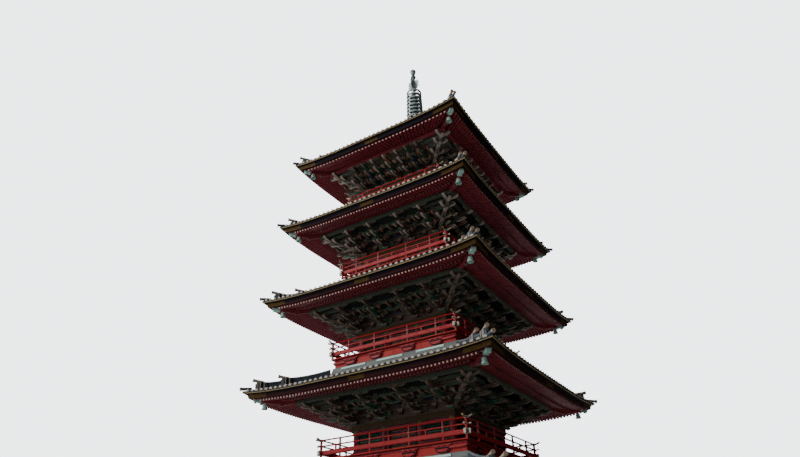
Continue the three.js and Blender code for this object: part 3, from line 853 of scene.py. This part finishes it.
cove_ribs = cove_tree()
for s in STOREYS:
    # The upper storeys take paler paints (pale tan rims, sage for moss on the top one): painted light.
    top_storey = s.k == 5
    leaf_green = lit_sage if top_storey else moss
    edge, second, tongue = {4: (lit_tan, lit_tan, lit_tan), 5: (lit_tan, clay, lit_tan)}.get(
        s.k, (tan, tan, clay))
    front = Shape()
    z = s.base
    strip(front, [(s.body - 0.3, s.beam_bottom), (s.body, s.beam_bottom), (s.body, z), (s.body - 0.11, z),
                  (s.body - 0.11, s.boarding - SEAT), (s.body - 0.3, s.boarding - SEAT)], (-1, 1), umber)
    beam(front, s.body - 0.03, 0.08, s.beam_bottom + 0.02, z - 0.03, ochre)
    for tier, low, high, paint in ((0, 0.4, 0.52, umber), (0, 0.96, 1.08, leaf_green),
                                   (1, 0.68, 0.8, leaf_green), (2, 0.85, 0.93, umber)):
        beam(front, plane_of(s, tier), 0.1, z + low, z + high, tan)
        beam(front, plane_of(s, tier), 0.108, z + low + 0.02, z + high - 0.02, paint)
    beam(front, s.purlin, 0.2, z + 0.96, s.purlin_top - SEAT, crimson if top_storey else leaf_green, 0.04)
    for a, b, low, high in ((1, 2, 0.76, 0.98), (2, 3, 0.9, 1.17)):
        inner, outer = plane_of(s, a) + 0.05, plane_of(s, b) - 0.06
        strip(front, [(inner - 0.02, z + low), (inner + 0.14, z + low + 0.5 * (high - low)),
                      (outer, z + high), (outer, z + high + 0.03), (inner - 0.02, z + high + 0.03)],
              (-1, 1), cove_green)
        front.take(grown(cove_ribs, count=floor(2 * inner / RIB_PITCH), pitch=RIB_PITCH, out=inner, end=outer,
                         low=z + low, high=z + high, thick=0.06, finish=clay if top_storey else fascia_black))
    line = s.body - COLUMN - COLUMN_IN
    for x, paints in ((-line, (leaf_green, umber)), (-s.column, (emerald, leaf_green)),
                      (s.column, (umber, leaf_green)), (line, (emerald, umber))):
        front.join(cluster(s, 1, paints, edge if abs(x) < line else second), moved(x))
        for tier, high, long in ((0, 0.12, 0.95), (0, 0.52, 1.25), (1, 0.4, 1.05), (2, 0.68, 1.05)):
            if abs(x) < line or tier:
                front.join(lateral(paints[(tier + (high > 0.5)) % 2], long, (-1, 0, 1)),
                           moved(x, -plane_of(s, tier), z + high))
        front.join(lateral(paints[0], 0.9, (), 0.1), moved(x, -plane_of(s, 3), z + 0.86))
    for x in (-(s.column + line) / 2, 0, (s.column + line) / 2):
        if top_storey:
            front.join(cluster(s, 1, (azure, emerald) if x else (emerald, rust), second if x else edge),
                       moved(x))
        else:
            nosed(front, x, -plane_of(s, 0), z + 0.62, 0, s.step * 2 - 0.3, 0.5, umber)
            front.join(bearing(0.24, 0.26, ochre), moved(x, -plane_of(s, 0), z + 0.14))
        for tier, high, paint, long, tall, blocks in ((1, 0.56, emerald, 0.86, 0.12, (-1, 0, 1)),
                                                      (0, 0.54, azure, 0.7, 0.1, (-1, 1)),
                                                      (2, 0.74, emerald, 0.86, 0.14, ())):
            front.join(lateral(paint, long, blocks, tall), moved(x, -plane_of(s, tier), z + high))
    for hand in (-1, 1):
        for out, high in ((plane_of(s, 1), 0.45), (plane_of(s, 2) - 0.05, 0.68),
                          (plane_of(s, 2) + 0.32, 0.86)):
            nosed(front, hand * line, -out, z + high, hand, out - line - 0.1, 0.7, leaf_green, tongue, 1.15)
    corner = cluster(s, 1.22, (umber, leaf_green))
    start = plane_of(s, 0) * DIAGONAL
    for share, high in ((0.23, 0.35), (0.35, 0.55), (0.47, 0.79)):
        out = (s.body + share * s.reach) * DIAGONAL - 0.5
        nosed(corner, 0, -start, z + high, 0, out - start, 0.5, tongue, tongue, 1.15)
        corner.join(bearing(0.26, 0.2, leaf_green), moved(0, 0.2 - out, z + high - 0.2))
    place(f"bracket_tier_{s.k}", encircle(front, corner), "painted_brackets", f"brackets_{s.k}")


# Eave rafters: lower rafters over the purlin and flying rafters on their ends, set close together under
# boards, each of the flying ones with a pale enamelled end. A hip rafter runs to every corner under a cap of
# green copper, with a wind bell hung below it.
verdigris = finish("verdigris", (0.5, 0.78, 0.66), (0.2, 0.48, 0.4), rough=0.6, grain=22, bump=0.004)
ivory = finish("ivory_enamel", (0.52, 0.44, 0.35), (0.4, 0.34, 0.27), rough=0.5, grain=40, bump=0.002)
tip_pink = finish("tip_enamel", (0.8, 0.62, 0.52), (0.62, 0.48, 0.4), rough=0.5, grain=40, bump=0.002,
                  wear=0.2)
# The lower rafters' ends: the same enamel made dim, as painted shade under the flying rafters.
shaded_tip = finish("shaded_tip_enamel", (0.26, 0.18, 0.15), (0.18, 0.12, 0.1), rough=0.6, grain=40, bump=0.002)
CURVE = (-1, -0.92, -0.84, -0.74, -0.62, -0.45, 0, 0.45, 0.62, 0.74, 0.84, 0.92, 1)
RAFTER_DEEP = 0.1


def lift_of(s):
    """How far a point of the eaves is raised, from its station along the side and its half width."""
    return lambda t, at: EAVE_LIFT * abs(t) ** 4 * max(0, (at - s.flat) / (s.half - s.flat)) ** 2


def raised(net, given, x, at):
    """The same lift as wires."""
    inside = net.math("MAXIMUM", (at - given.flat) / (given.half - given.flat), 0)
    return (abs(x) / at) ** 4 * inside * inside * given.lift


def rafter_tree():
    """Rafters side by side along x, parallel or fanned, cut off along the hips, narrower at their tips."""
    net, given = tree_of("rafter_row", "pitch inner tip inner_level tip_level half flat lift fan wide deep",
                         "finish end_finish")
    real, (u, v, w), line = row_of(net, given, stick(net, 3))
    hip = net.math("MAXIMUM", given.inner, abs(line) + 0.06)
    inner = hip + (given.inner - hip) * given.fan
    cap = net.math("MINIMUM", v + 0.5, 0.5) * 0.04
    tipped = net.math("LESS_THAN", v, -0.1)
    at = given.tip - cap - (given.tip - 0.05 - inner) * net.math("MAXIMUM", v, 0) * 2
    share = (given.tip - at) / (given.tip - given.inner)
    x = line * (1 - given.fan + at / given.tip * given.fan)
    z = given.tip_level + (given.inner_level - given.tip_level) * share + raised(net, given, x, at) + (
        w * (1 - tipped * 0.2) + 0.5) * given.deep
    bent = shaped(net, real, x + u * (1 - tipped * 0.42) * given.wide, 0 - at, z)
    ends = net.math("LESS_THAN", v, -0.4)
    return close_tree(net, coated(net, coated(net, bent, given.finish), given.end_finish, ends))


rafter_row = rafter_tree()
for s in STOREYS:
    lift = lift_of(s)
    side = Shape()
    a, b, e = s.inner_tip, s.tip, s.eave
    wall = s.body - 0.1
    bearing_line = s.purlin + 0.11
    slope = (s.boarding - s.purlin_top) / (bearing_line - wall)
    tip_drop = s.purlin_top - (a - bearing_line) * slope
    # Below the top storey the lower rafters' ends take the dim enamel: painted shade.
    pitch, fan, lower_end = (0.24, 1.0, crimson) if s.k == 5 else (0.19, 0.0, shaded_tip)
    for inner, tip, inner_level, tip_level, short, paint in (
            (wall, a, s.boarding, tip_drop, 0.4, lower_end),
            (a - 0.3, b, e - 0.16, e - 0.43, 0.45, tip_pink)):
        side.take(grown(
            rafter_row, count=2 * floor((tip - short) / pitch) + 1, pitch=pitch, inner=inner, tip=tip,
            inner_level=inner_level, tip_level=tip_level, half=s.half, flat=s.flat, lift=EAVE_LIFT,
            wide=0.64 * pitch, deep=RAFTER_DEEP, fan=fan, finish=crimson, end_finish=paint))
    for profile, stations in (
            ([(wall, e + 0.575), (a - 0.02, tip_drop + 0.095), (a - 0.02, tip_drop + 0.12),
              (wall, e + 0.6)], CURVE),
            ([(a - 0.06, e - 0.24), (a - 0.02, e - 0.24), (a - 0.02, e - 0.13), (a - 0.06, e - 0.12)], CURVE),
            ([(a - 0.06, e - 0.13), (b - 0.02, e - 0.335), (b - 0.02, e - 0.3), (a - 0.06, e - 0.1)], CURVE),
            ([(b - 0.07, e - 0.335), (b - 0.02, e - 0.34), (b + 0.06, e - 0.2), (b - 0.07, e - 0.2)],
             CURVE[1:-1])):
        strip(side, profile, stations, crimson, lift)
    hip = Shape()
    start, end, knee = wall * DIAGONAL, (s.half - 0.5) * DIAGONAL, (a - 0.1) * DIAGONAL
    hip.prism([(start, e + 0.46), (knee, e - 0.38), (end, s.corner - 0.47), (end, s.corner - 0.26),
               (knee, e - 0.14), (start, e + 0.66)], 0.17, crimson)
    hip.prism([(start, e + 0.40), (knee - 0.1, e - 0.44), (knee - 0.1, e - 0.3), (start, e + 0.5)], 0.15,
              crimson)
    hip.prism([(-0.14, -0.445), (-0.095, -0.45), (-0.095, -0.3), (-0.14, -0.29)], 0.17, tan, at=(0, -knee, e))
    low = s.corner - 0.56
    out = (s.half - 0.72) * DIAGONAL
    hip.prism([(0, 0.09), (0.06, 0), (0.12, 0), (0.15, 0.045), (0.28, 0.045), (0.32, 0), (0.38, 0),
               (0.42, 0.07), (0.42, 0.2), (0, 0.2)], 0.23, verdigris, at=(0, -out, low))
    hip.prism([(-0.03, 0.17), (0.46, 0.17), (0.49, 0.21), (0.49, 0.25), (-0.05, 0.25), (-0.05, 0.21)], 0.36,
              verdigris, at=(0, -out, low))
    out = (s.half - 0.82) * DIAGONAL
    hip.turned([(0, 0), (0.045, -0.002), (0.1, -0.03), (0.115, -0.1), (0.125, -0.2), (0.16, -0.285),
                (0.16, -0.3), (0.145, -0.3), (0.1, -0.1), (0, -0.09)], verdigris, 14, (0, -out, low))
    hip.turned([(0.009, -0.1), (0.009, -0.27), (0.03, -0.29), (0, -0.3)], verdigris, 8, (0, -out, low))
    bar(hip, (0, -out, low - 0.02), (0, -out, low + 0.2), 0.012, verdigris)
    place(f"eave_rafters_{s.k}", encircle(side, hip), "crimson_lacquer", f"rafters_{s.k}")


# Roofs: copper tiles, flat pans between half-round ribs that end in cream roundels, over a black lacquered
# fascia with gilt edge and plates. The pans are made darker than the ribs, as painted shade between them.
# Hip ridges of stacked courses run down in two stages, each ending in a block under a long cylinder that
# points out, and a tile of the same form sits on every corner.
def courses(net, spot):
    """Height of overlapping tile courses that run level round the roof."""
    x, y = net.split(spot)[:2]
    share = net.math("FRACT", net.math("MAXIMUM", abs(x), abs(y)) / 0.3)
    return net.math("SMOOTH_MIN", share, 0.85, 0.1)


def chased(net, spot):
    """Chased ornament of interlaced curls."""
    wave = net.add("ShaderNodeTexWave", {"wave_type": "RINGS"}, {
        "Vector": spot, "Scale": 3.0, "Distortion": 9.0, "Detail": 1.0, "Detail Scale": 2.5}, out="Fac")
    return net.math("GREATER_THAN", wave, 0.5)


def dulled(net, spot):
    """The raised curls, for the darker tone on them."""
    return chased(net, spot) * 0.6


tile = finish("copper_tile", (0.085, 0.105, 0.12), (0.16, 0.19, 0.19), rough=0.65, metal=0.1, grain=16,
              bump=0.02, wear=0.4, shine=0.15, relief=courses)
# The pans between the ribs: the same copper made darker, as painted shade between the ribs.
shaded_pan_tile = finish("shaded_pan_tile", (0.04, 0.05, 0.058), (0.075, 0.09, 0.09), rough=0.7, grain=16, bump=0.02,
                  wear=0.4, shine=0.12, relief=courses)
ridge_tile = finish("ridge_tile", (0.06, 0.075, 0.1), (0.15, 0.175, 0.19), rough=0.5, metal=0.2, grain=22,
                    wear=0.5)
edge_gilt = finish("edge_gilt", (0.46, 0.32, 0.12), (0.3, 0.22, 0.1), rough=0.55, metal=0.1, grain=30,
                   bump=0.003)
chased_gilt = finish("chased_gilt", (0.11, 0.06, 0.012), (0.07, 0.045, 0.012), rough=0.6, metal=0.1,
                     shine=0.08, grain=30, bump=0.006, relief=chased, tint=dulled)
maroon = finish("maroon_board", (0.038, 0.006, 0.008), (0.024, 0.006, 0.007), rough=0.7, grain=20, shine=0.1)
pale_tile = finish("pale_tile", (0.2, 0.23, 0.24), (0.34, 0.38, 0.38), rough=0.5, metal=0.2, grain=22,
                   wear=0.5)
sand = finish("sand_enamel", (0.5, 0.38, 0.26), (0.36, 0.27, 0.19), rough=0.55, grain=30)
mint = finish("mint_copper", (0.66, 0.92, 0.82), (0.5, 0.76, 0.67), rough=0.6, grain=16, wear=0.25)
lead_grey = finish("lead_grey", (0.13, 0.145, 0.135), (0.2, 0.22, 0.21), rough=0.55, metal=0.2, grain=16)
TILE_PITCH = 0.31
TILE_RADIUS = 0.07
ROUNDEL = 1.2
SAG = 0.28
CROWN_TOP = 28.88
CROWN_HALF = 0.52
ROOF_DROP = 0.8
FARTHEST_TILE = 7.12


def surface_of(s):
    """Where the tile bed ends inside, how high, and its height at any half width."""
    inner, top = CROWN_HALF, CROWN_TOP - SEAT
    if s.k < 5:
        inner, top = s.waist + SEAT, storey(s.k + 1).floor - ROOF_DROP

    def surface(at):
        up = (s.half - at) / (s.half - inner)
        return s.eave + (top - s.eave) * ((1 - SAG) * up + SAG * up * up)

    return inner, top, surface


def tile_tree():
    """Half-round tile ribs side by side along x, running up the roof to its top or the hips, and a roundel at
    the foot of each."""
    net, given = tree_of("tile_ribs", "pitch half inner eave rise flat lift radius", "finish end_finish")
    grid = net.add("GeometryNodeMeshGrid", {}, {"Size X": 1.0, "Size Y": 1.0, "Vertices X": 6,
                                                "Vertices Y": 11})
    real, (u, v, w), line = row_of(net, given, grid)
    inner = net.math("MINIMUM", net.math("MAXIMUM", given.inner, abs(line) + 0.02), given.half - 0.06)
    at = given.half - 0.03 - (given.half - 0.03 - inner) * (v + 0.5)
    up = (given.half - at) / (given.half - given.inner)
    bed = given.eave + given.rise * (up * (1 - SAG) + up * up * SAG) + raised(net, given, line, at)
    bent = shaped(net, real, line + net.math("SINE", u * pi) * given.radius, 0 - at,
                  bed + net.math("COSINE", u * pi) * given.radius - 0.008)
    disc = net.add("GeometryNodeMeshCylinder", {"fill_type": "NGON"}, {
        "Vertices": 10, "Side Segments": 1, "Radius": 1.0, "Depth": 1.0})
    lying = net.add("GeometryNodeTransform", {}, {"Geometry": disc, "Rotation": (pi / 2, 0, 0)})
    ends, (u, v, w), line = row_of(net, given, lying)
    radius = given.radius * ROUNDEL
    feet = shaped(net, ends, line + u * radius, v * 0.11 + 0.055 - given.half,
                  given.eave + raised(net, given, line, given.half) + w * radius + 0.015)
    both = net.add("GeometryNodeJoinGeometry", {}, {0: coated(net, bent, given.finish)})
    net.tree.links.new(coated(net, feet, given.end_finish).socket, both.socket.node.inputs[0])
    return close_tree(net, both)


def pointer(shape, paint, inner, tip, collar, face):
    """A round tile on the diagonal that points out, and the collar at its tip, through (y, height) points."""
    for start, end, radius, material in ((inner, tip, 0.075, paint), (collar, face, 0.092, sand)):
        bar(shape, (0, *start), (0, *end), radius, material, sand, 12)


def ridge(shape, s, start, end, tall, width, upturn):
    """One stage of a hip ridge on the diagonal: stacked courses that step in, a round cap, and an end block
    under a long cylinder that points out."""
    surface, lift = surface_of(s)[2], lift_of(s)
    levels = []
    for n in range(7):
        at = start + (end - start) * n / 6
        levels.append((at * DIAGONAL, surface(at) + lift(1, at) + upturn * (n / 6) ** 3))
    course = (tall + 0.06) / 5
    for n in range(5):
        low = course * n - 0.06
        high = low + course - 0.012
        low -= 0 if n else upturn
        wide = width * (1 - 0.08 * n) / 2
        for bottom, shelf, over, paint in ((low, high, wide, (ridge_tile, tile)[n % 2]),
                                           (high, high + 0.013, wide - 0.03, fascia_black)):
            shape.loft([[(-over, -out, z + bottom), (over, -out, z + bottom), (over - 0.01, -out, z + shelf),
                         (0.01 - over, -out, z + shelf)] for out, z in levels], paint)
    shape.loft([[(0.075 * cos(pi * n / 6), -out, z + tall - 0.02 + 0.075 * sin(pi * n / 6)) for n in range(7)]
                for out, z in levels], pale_tile)
    out, z = levels[-1]
    shape.block((-width * 0.62, -out - 0.06, z - 0.1 - upturn), (width * 0.62, -out + 0.06, z + tall + 0.05),
                pale_tile, 0.03)
    shape.turned([(0.07, -0.01), (0.075, 0.01), (0.075, tall - 0.08), (0.06, tall - 0.06)], ridge_tile, 10,
                 (0, -out - 0.045, z))
    for n, (paint, wide) in enumerate(((ivory, 0.6), (fascia_black, 0.54), (ivory, 0.6), (ridge_tile, 0.54))):
        y = 0.1 + n * 0.1 - out
        shape.block((-width * wide, y, z - 0.05), (width * wide, y + 0.06, z + tall + 0.06), paint, 0.02)
    reach = out + 0.24
    pointer(shape, sand, (0.3 - out, z + tall + 0.03), (-reach, z + tall + 0.12),
            (0.07 - reach, z + tall + 0.11), (-0.01 - reach, z + tall + 0.123))


def rim(shape, s, points, material, stations=CURVE):
    """A profile along the eaves, by how far inside the edge and how far above it its points lie."""
    strip(shape, [(s.half - back, s.eave + up) for back, up in points], stations, material, lift_of(s))


tile_ribs = tile_tree()
for s in STOREYS:
    inner, top, surface = surface_of(s)
    h, e = s.half, s.eave
    side = Shape()
    bed = [(at, min(surface(at), CROWN_TOP) - 0.01) for at in (h - (h - inner) * n / 10 for n in range(11))]
    # The bed of pans, in the darker copper that paints shade between the ribs.
    strip(side, bed + [(at, z - 0.06) for at, z in reversed(bed)], CURVE, shaded_pan_tile, lift_of(s))
    side.take(grown(tile_ribs, count=2 * floor((h - 0.2) / TILE_PITCH) + 1, pitch=TILE_PITCH, half=h,
                    inner=inner, eave=e, rise=top - e, flat=s.flat, lift=EAVE_LIFT, radius=TILE_RADIUS,
                    finish=tile, end_finish=ivory))
    seam = (0.16, 0.16, 0.2, 0.24, 0.3)[s.k - 1]
    face = 0.137 + 0.3 * seam
    under = surface(h - 0.9) - e
    rim(side, s, [(0.05, -0.095), (0.006, -0.09), (0, -0.055), (0.02, -0.035), (0.05, -0.03)], edge_gilt)
    rim(side, s, [(0.1, -0.03), (0.002, -0.035), (0.001, 0.015), (0.1, 0.03)], fascia_black)
    rim(side, s, [(0.34, -seam), (face, -seam), (0.17, -0.11), (0.048, -0.095), (0.048, -0.03),
                  (0.34, -0.05)],
        fascia_black)
    rim(side, s, [(0.35, -0.32), (0.235, -0.32), (face + 0.012, -seam - 0.002), (0.35, -seam - 0.002)],
        maroon)
    share = 1.3 / h
    for t0, t1 in ((-1, -1 + share), (-0.45 / h, 0.45 / h), (1 - share, 1)):
        rim(side, s, [(0.229, -0.3), (0.222, -0.3), (0.168, -0.1), (0.175, -0.1)], chased_gilt,
            [t0 + (t1 - t0) * n / 6 for n in range(7)])
    rim(side, s, [(0.35, -0.3), (0.35, -0.1), (0.9, under - 0.1), (0.9, under - 0.14)], crimson)
    if s.k < 5:
        w = s.waist + SEAT
        strip(side, [(w + out, top + up) for out, up in ((0, -0.12), (0.16, -0.12), (0.16, 0.03),
                                                         (0.125, 0.06), (0.085, 0.27), (0.07, 0.295),
                                                         (0, 0.3))], (-1, 1), lead_grey)
        for centre in (-0.56, -0.02, 0.54):
            x = centre * s.rail
            strip(side, [(w + out, top + up) for out, up in ((0.09, 0.13), (0.14, 0.14), (0.145, 0.19),
                                                             (0.13, 0.24), (0.09, 0.25))],
                  ((x - 0.74) / w, (x + 0.74) / w), mint)
    start, upper, lower = (inner + 0.2, h - 1.2, h - 0.36) if s.k == 5 else (inner + 0.16, h - 1.38, h - 0.5)
    hip = Shape()
    ridge(hip, s, start, upper, 0.29, 0.22, 0.14)
    ridge(hip, s, upper - 0.04, lower, 0.3, 0.19, 0.08)
    tip, level = min(h + 0.1, FARTHEST_TILE) * DIAGONAL, e + 0.36
    pointer(hip, ridge_tile, (0.6 - tip, level + 0.03), (-tip, level), (0.08 - tip, level + 0.003),
            (-0.01 - tip, level))
    place(f"roof_tiles_{s.k}", encircle(side, hip), "copper_tile", f"roof_{s.k}")


# Waist walls and balconies: each upper floor stands on a low vermilion boarded wall, whose boat-shaped arms
# with dark insets carry the balcony's edge and its floor of boards laid square to the walls. The dark edges
# and insets of the bowl arms are partly painted outline and partly painted shadow under the arms.
vermilion_boards = finish("vermilion_boards", (0.5, 0.014, 0.01), (0.42, 0.02, 0.015), rough=0.55, shine=0.2,
                          relief=boards)
FLOOR_TALL = 0.12
FLOOR_EDGE = 0.055
FLOOR_PAST = 0.07


def bowl_arm(length, tall, inset):
    """Outline of an arm cut to a round bowl below, shrunk all round by an inset."""
    h, t = length / 2 - inset, tall - inset
    return [(-h * cos(pi * n / 10), t - (t - inset) * sin(pi * n / 10)) for n in range(11)]


for s, below in zip(STOREYS[1:], STOREYS):
    side = Shape()
    outer, low, top = below.waist, below.sill + SEAT, s.floor - FLOOR_TALL - SEAT
    strip(side, [(outer - 0.16, low), (outer, low), (outer, top), (outer - 0.16, top)], (-1, 1),
          vermilion_boards)
    beam(side, outer + 0.02, 0.04, top - 0.035, top, vermilion, 0.005)
    end = s.body - 0.2
    for x in (-end, -s.column, s.column, end):
        # Crimson edge, black inset, vermilion field: the dark rim is partly paint and partly painted shadow
        # under the arm.
        for width, inset, paint in ((0.11, 0.0, crimson), (0.12, 0.025, fascia_black),
                                    (0.13, 0.09, vermilion)):
            arm = Shape()
            arm.prism(bowl_arm(0.76, 0.31, inset), width, paint)
            side.join(arm, moved(x, -outer - 0.04, top - 0.41, 1))
        side.join(painted(lambda i: boat(0.95, 0.06, i), vermilion, crimson, 0.07),
                  moved(x, -outer - 0.06, top - 0.06, 1))
        for shift in (-0.28, 0, 0.28):
            side.join(bearing(0.13, 0.08, vermilion, vermilion), moved(x + shift, -outer - 0.05, top - 0.115))
    for hand in (-1, 1):
        side.join(painted(lambda i: leaf(outer + 0.1 - end, 0.11, i), vermilion, crimson, 0.08),
                  moved(hand * end, -outer - 0.05, top - 0.2, hand))
    place(f"waist_boards_{s.k}", encircle(side), "vermilion_lacquer", f"waist_wall_{s.k}")
    deck = Shape()
    deck.post(0, 0, s.rail + FLOOR_PAST, s.floor - FLOOR_EDGE, s.floor, vermilion_boards, 0.006)
    deck.post(0, 0, outer, s.floor - FLOOR_TALL, s.floor - FLOOR_EDGE - 0.002, crimson)
    place(f"balcony_boards_{s.k}", deck, "vermilion_lacquer", f"balcony_{s.k}")


# Finial: a square dew basin, an inverted bowl under a lotus, a mast with nine spoked rings hung with small
# bells, an openwork water flame, and two jewels. All of it is cast bronze gone green.
bronze = finish("green_bronze", (0.1, 0.17, 0.17), (0.26, 0.34, 0.32), rough=0.55, metal=0.3, grain=20,
                bump=0.006, wear=0.45)
dark_bronze = finish("dark_bronze", (0.03, 0.05, 0.055), (0.07, 0.13, 0.12), rough=0.5, metal=0.5, grain=20)
pale_bronze = finish("pale_bronze", (0.42, 0.5, 0.48), (0.56, 0.62, 0.6), rough=0.6, metal=0.1, grain=20)
PETALS = 12
RINGS = 9
TOP_RING, RING_PITCH = 33.53, 0.332
RING_RADIUS, RING_GAIN = 0.53, 0.009

low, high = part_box("dew_basin")
z0, z1 = low.z, high.z
basin, side = Shape(), Shape()
for bottom, top, wide, edge in ((z0, z0 + 0.11, 0.66, 0.02), (z0 + 0.11, z1 - 0.12, 0.55, 0.0),
                                (z1 - 0.16, z1 - 0.08, 0.6, 0.02), (z1 - 0.09, z1, 0.68, 0.02)):
    basin.post(0, 0, wide, bottom, top, bronze, edge)
for x in (-0.28, 0.28):
    side.block((x - 0.24, -0.56, z0 + 0.17), (x + 0.24, -0.545, z1 - 0.2), dark_bronze, 0.006)
    side.block((x - 0.19, -0.566, z0 + 0.22), (x + 0.19, -0.55, z1 - 0.25), bronze, 0.006)
basin.around(side)
place("basin", basin, "finial_bronze", "dew_basin")

foot = (0, 0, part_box("lotus_bowl")[0].z)
bowl = Shape()
bowl.turned([(0.1, 0), (0.5, 0), (0.5, 0.04), (0.485, 0.12), (0.44, 0.26), (0.35, 0.37), (0.24, 0.43),
             (0.2, 0.46), (0.2, 0.5), (0.1, 0.52)], bronze, 32, foot)
for row, (lean, tall, paint) in enumerate(((0.5, 0.3, bronze), (0.44, 0.24, dark_bronze))):
    petal = Shape()
    rings = []
    for m in range(6):
        t = m / 5
        out = 0.17 + lean * 0.66 * t ** 1.2
        up = foot[2] + 0.5 + tall * t ** 0.8
        wide = 0.13 * sin(pi * min(t * 0.86 + 0.14, 1)) + 0.004
        rings.append([(-wide, -out + 0.012, up), (0, -out - 0.018 * sin(pi * t), up - 0.01),
                      (wide, -out + 0.012, up), (0, -out + 0.03, up + 0.012)])
    petal.loft(rings, paint)
    bowl.around(petal, [4 * (n + row / 2) / PETALS for n in range(PETALS)])
place("lotus", bowl, "finial_bronze", "lotus_bowl")

low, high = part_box("ring_mast")
mast = Shape()
mast.turned([(0.095, low.z), (0.095, 30.2), (0.08, 31), (0.07, high.z)], bronze, 16)
for n in range(RINGS):
    z, radius = TOP_RING - n * RING_PITCH, RING_RADIUS + n * RING_GAIN
    at = (0, 0, z)
    mast.turned([(radius - 0.02, -0.07), (radius, -0.05), (radius, 0.05), (radius - 0.02, 0.07),
                 (radius - 0.02, -0.07)], pale_bronze, 32, at)
    mast.turned([(radius - 0.09, -0.05), (radius - 0.02, -0.07), (radius - 0.02, 0.07), (radius - 0.09, 0.05),
                 (radius - 0.09, -0.05)], dark_bronze, 32, at)
    mast.turned([(0.07, -0.1), (0.13, -0.08), (0.15, 0), (0.13, 0.08), (0.07, 0.1)], bronze, 16, at)
    spoke, bell = Shape(), Shape()
    spoke.prism([(0.12, -0.03), (radius - 0.05, -0.02), (radius - 0.05, 0.02), (0.12, 0.03)], 0.03,
                dark_bronze, at)
    bell.turned([(0, -0.06), (0.014, -0.065), (0.024, -0.09), (0.04, -0.15), (0, -0.145)], dark_bronze, 8,
                (0, 0.03 - radius, z))
    mast.around(spoke, [m / 2 for m in range(8)])
    mast.around(bell, CORNERS)
place("rings", mast, "finial_bronze", "ring_mast")

low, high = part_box("water_flame")
z = low.z - 0.12
foot = (0, 0, z)
flame, plate = Shape(), Shape()
tongues = [(0.07, 0.0), (0.15, 0.04), (0.33, 0.16), (0.42, 0.33), (0.38, 0.52), (0.43, 0.68), (0.34, 0.92),
           (0.2, 0.76), (0.14, 1.0), (0.07, 1.04)]
for (a, b), (c, d) in zip(tongues, tongues[1:]):
    away = Vector((c - a, d - b)).normalized() * 0.035
    plate.prism([(a, b), (c, d), (c - away.y - 0.01, d + away.x), (a - away.y - 0.01, b + away.x)], 0.03,
                pale_bronze, foot)
for row, reach in enumerate((0.2, 0.32, 0.4, 0.4, 0.38, 0.4, 0.42, 0.36, 0.3)):
    for out in (0.1 + column * 0.085 + row % 2 * 0.04 for column in range(4)):
        if out < reach:
            plate.prism([(0.037 * cos(pi * n / 3), 0.045 * sin(pi * n / 3)) for n in range(6)], 0.022,
                        pale_bronze, (0, -out, z + 0.1 + row * 0.095))
for height, out in ((0.12, 0.2), (0.34, 0.38), (0.56, 0.36), (0.76, 0.34)):
    bar(plate, (0, -0.06, z + height - 0.06), (0, -out, z + height + 0.03), 0.015, pale_bronze, None, 6)
plate.prism([(0.06, 0.02), (0.22, 0.12), (0.31, 0.34), (0.27, 0.52), (0.3, 0.66), (0.22, 0.72), (0.15, 0.64),
             (0.11, 0.9), (0.06, 0.96)], 0.014, pale_bronze, foot)
flame.around(plate)
flame.turned([(0.07, z), (0.13, z + 0.03), (0.11, z + 0.1), (0.09, high.z - 0.2), (0.07, high.z - 0.02),
              (0.07, high.z)], pale_bronze, 16)
place("flame", flame, "finial_bronze", "water_flame")

low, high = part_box("jewels")
z, top = low.z, high.z
jewels = Shape()
jewels.turned([(0, 0), (0.09, 0), (0.15, 0.04), (0.185, 0.1), (0.19, 0.15), (0.165, 0.22), (0.11, 0.27),
               (0.07, 0.3), (0.075, 0.36), (0.12, 0.38), (0.12, 0.41)], bronze, 24, (0, 0, z))
jewels.turned([(0.1, z + 0.41), (0.15, z + 0.46), (0.19, top - 0.42), (0.2, top - 0.36), (0.19, top - 0.29),
               (0.15, top - 0.2), (0.08, top - 0.13), (0.03, top - 0.08), (0.012, top - 0.02), (0, top)],
              pale_bronze, 24)
for band in (top - 0.43, top - 0.28):
    jewels.turned([(0.17, 0), (0.203, 0.01), (0.203, 0.03), (0.17, 0.04), (0.17, 0)], dark_bronze, 24,
                  (0, 0, band))
place("two_jewels", jewels, "finial_bronze", "jewels")
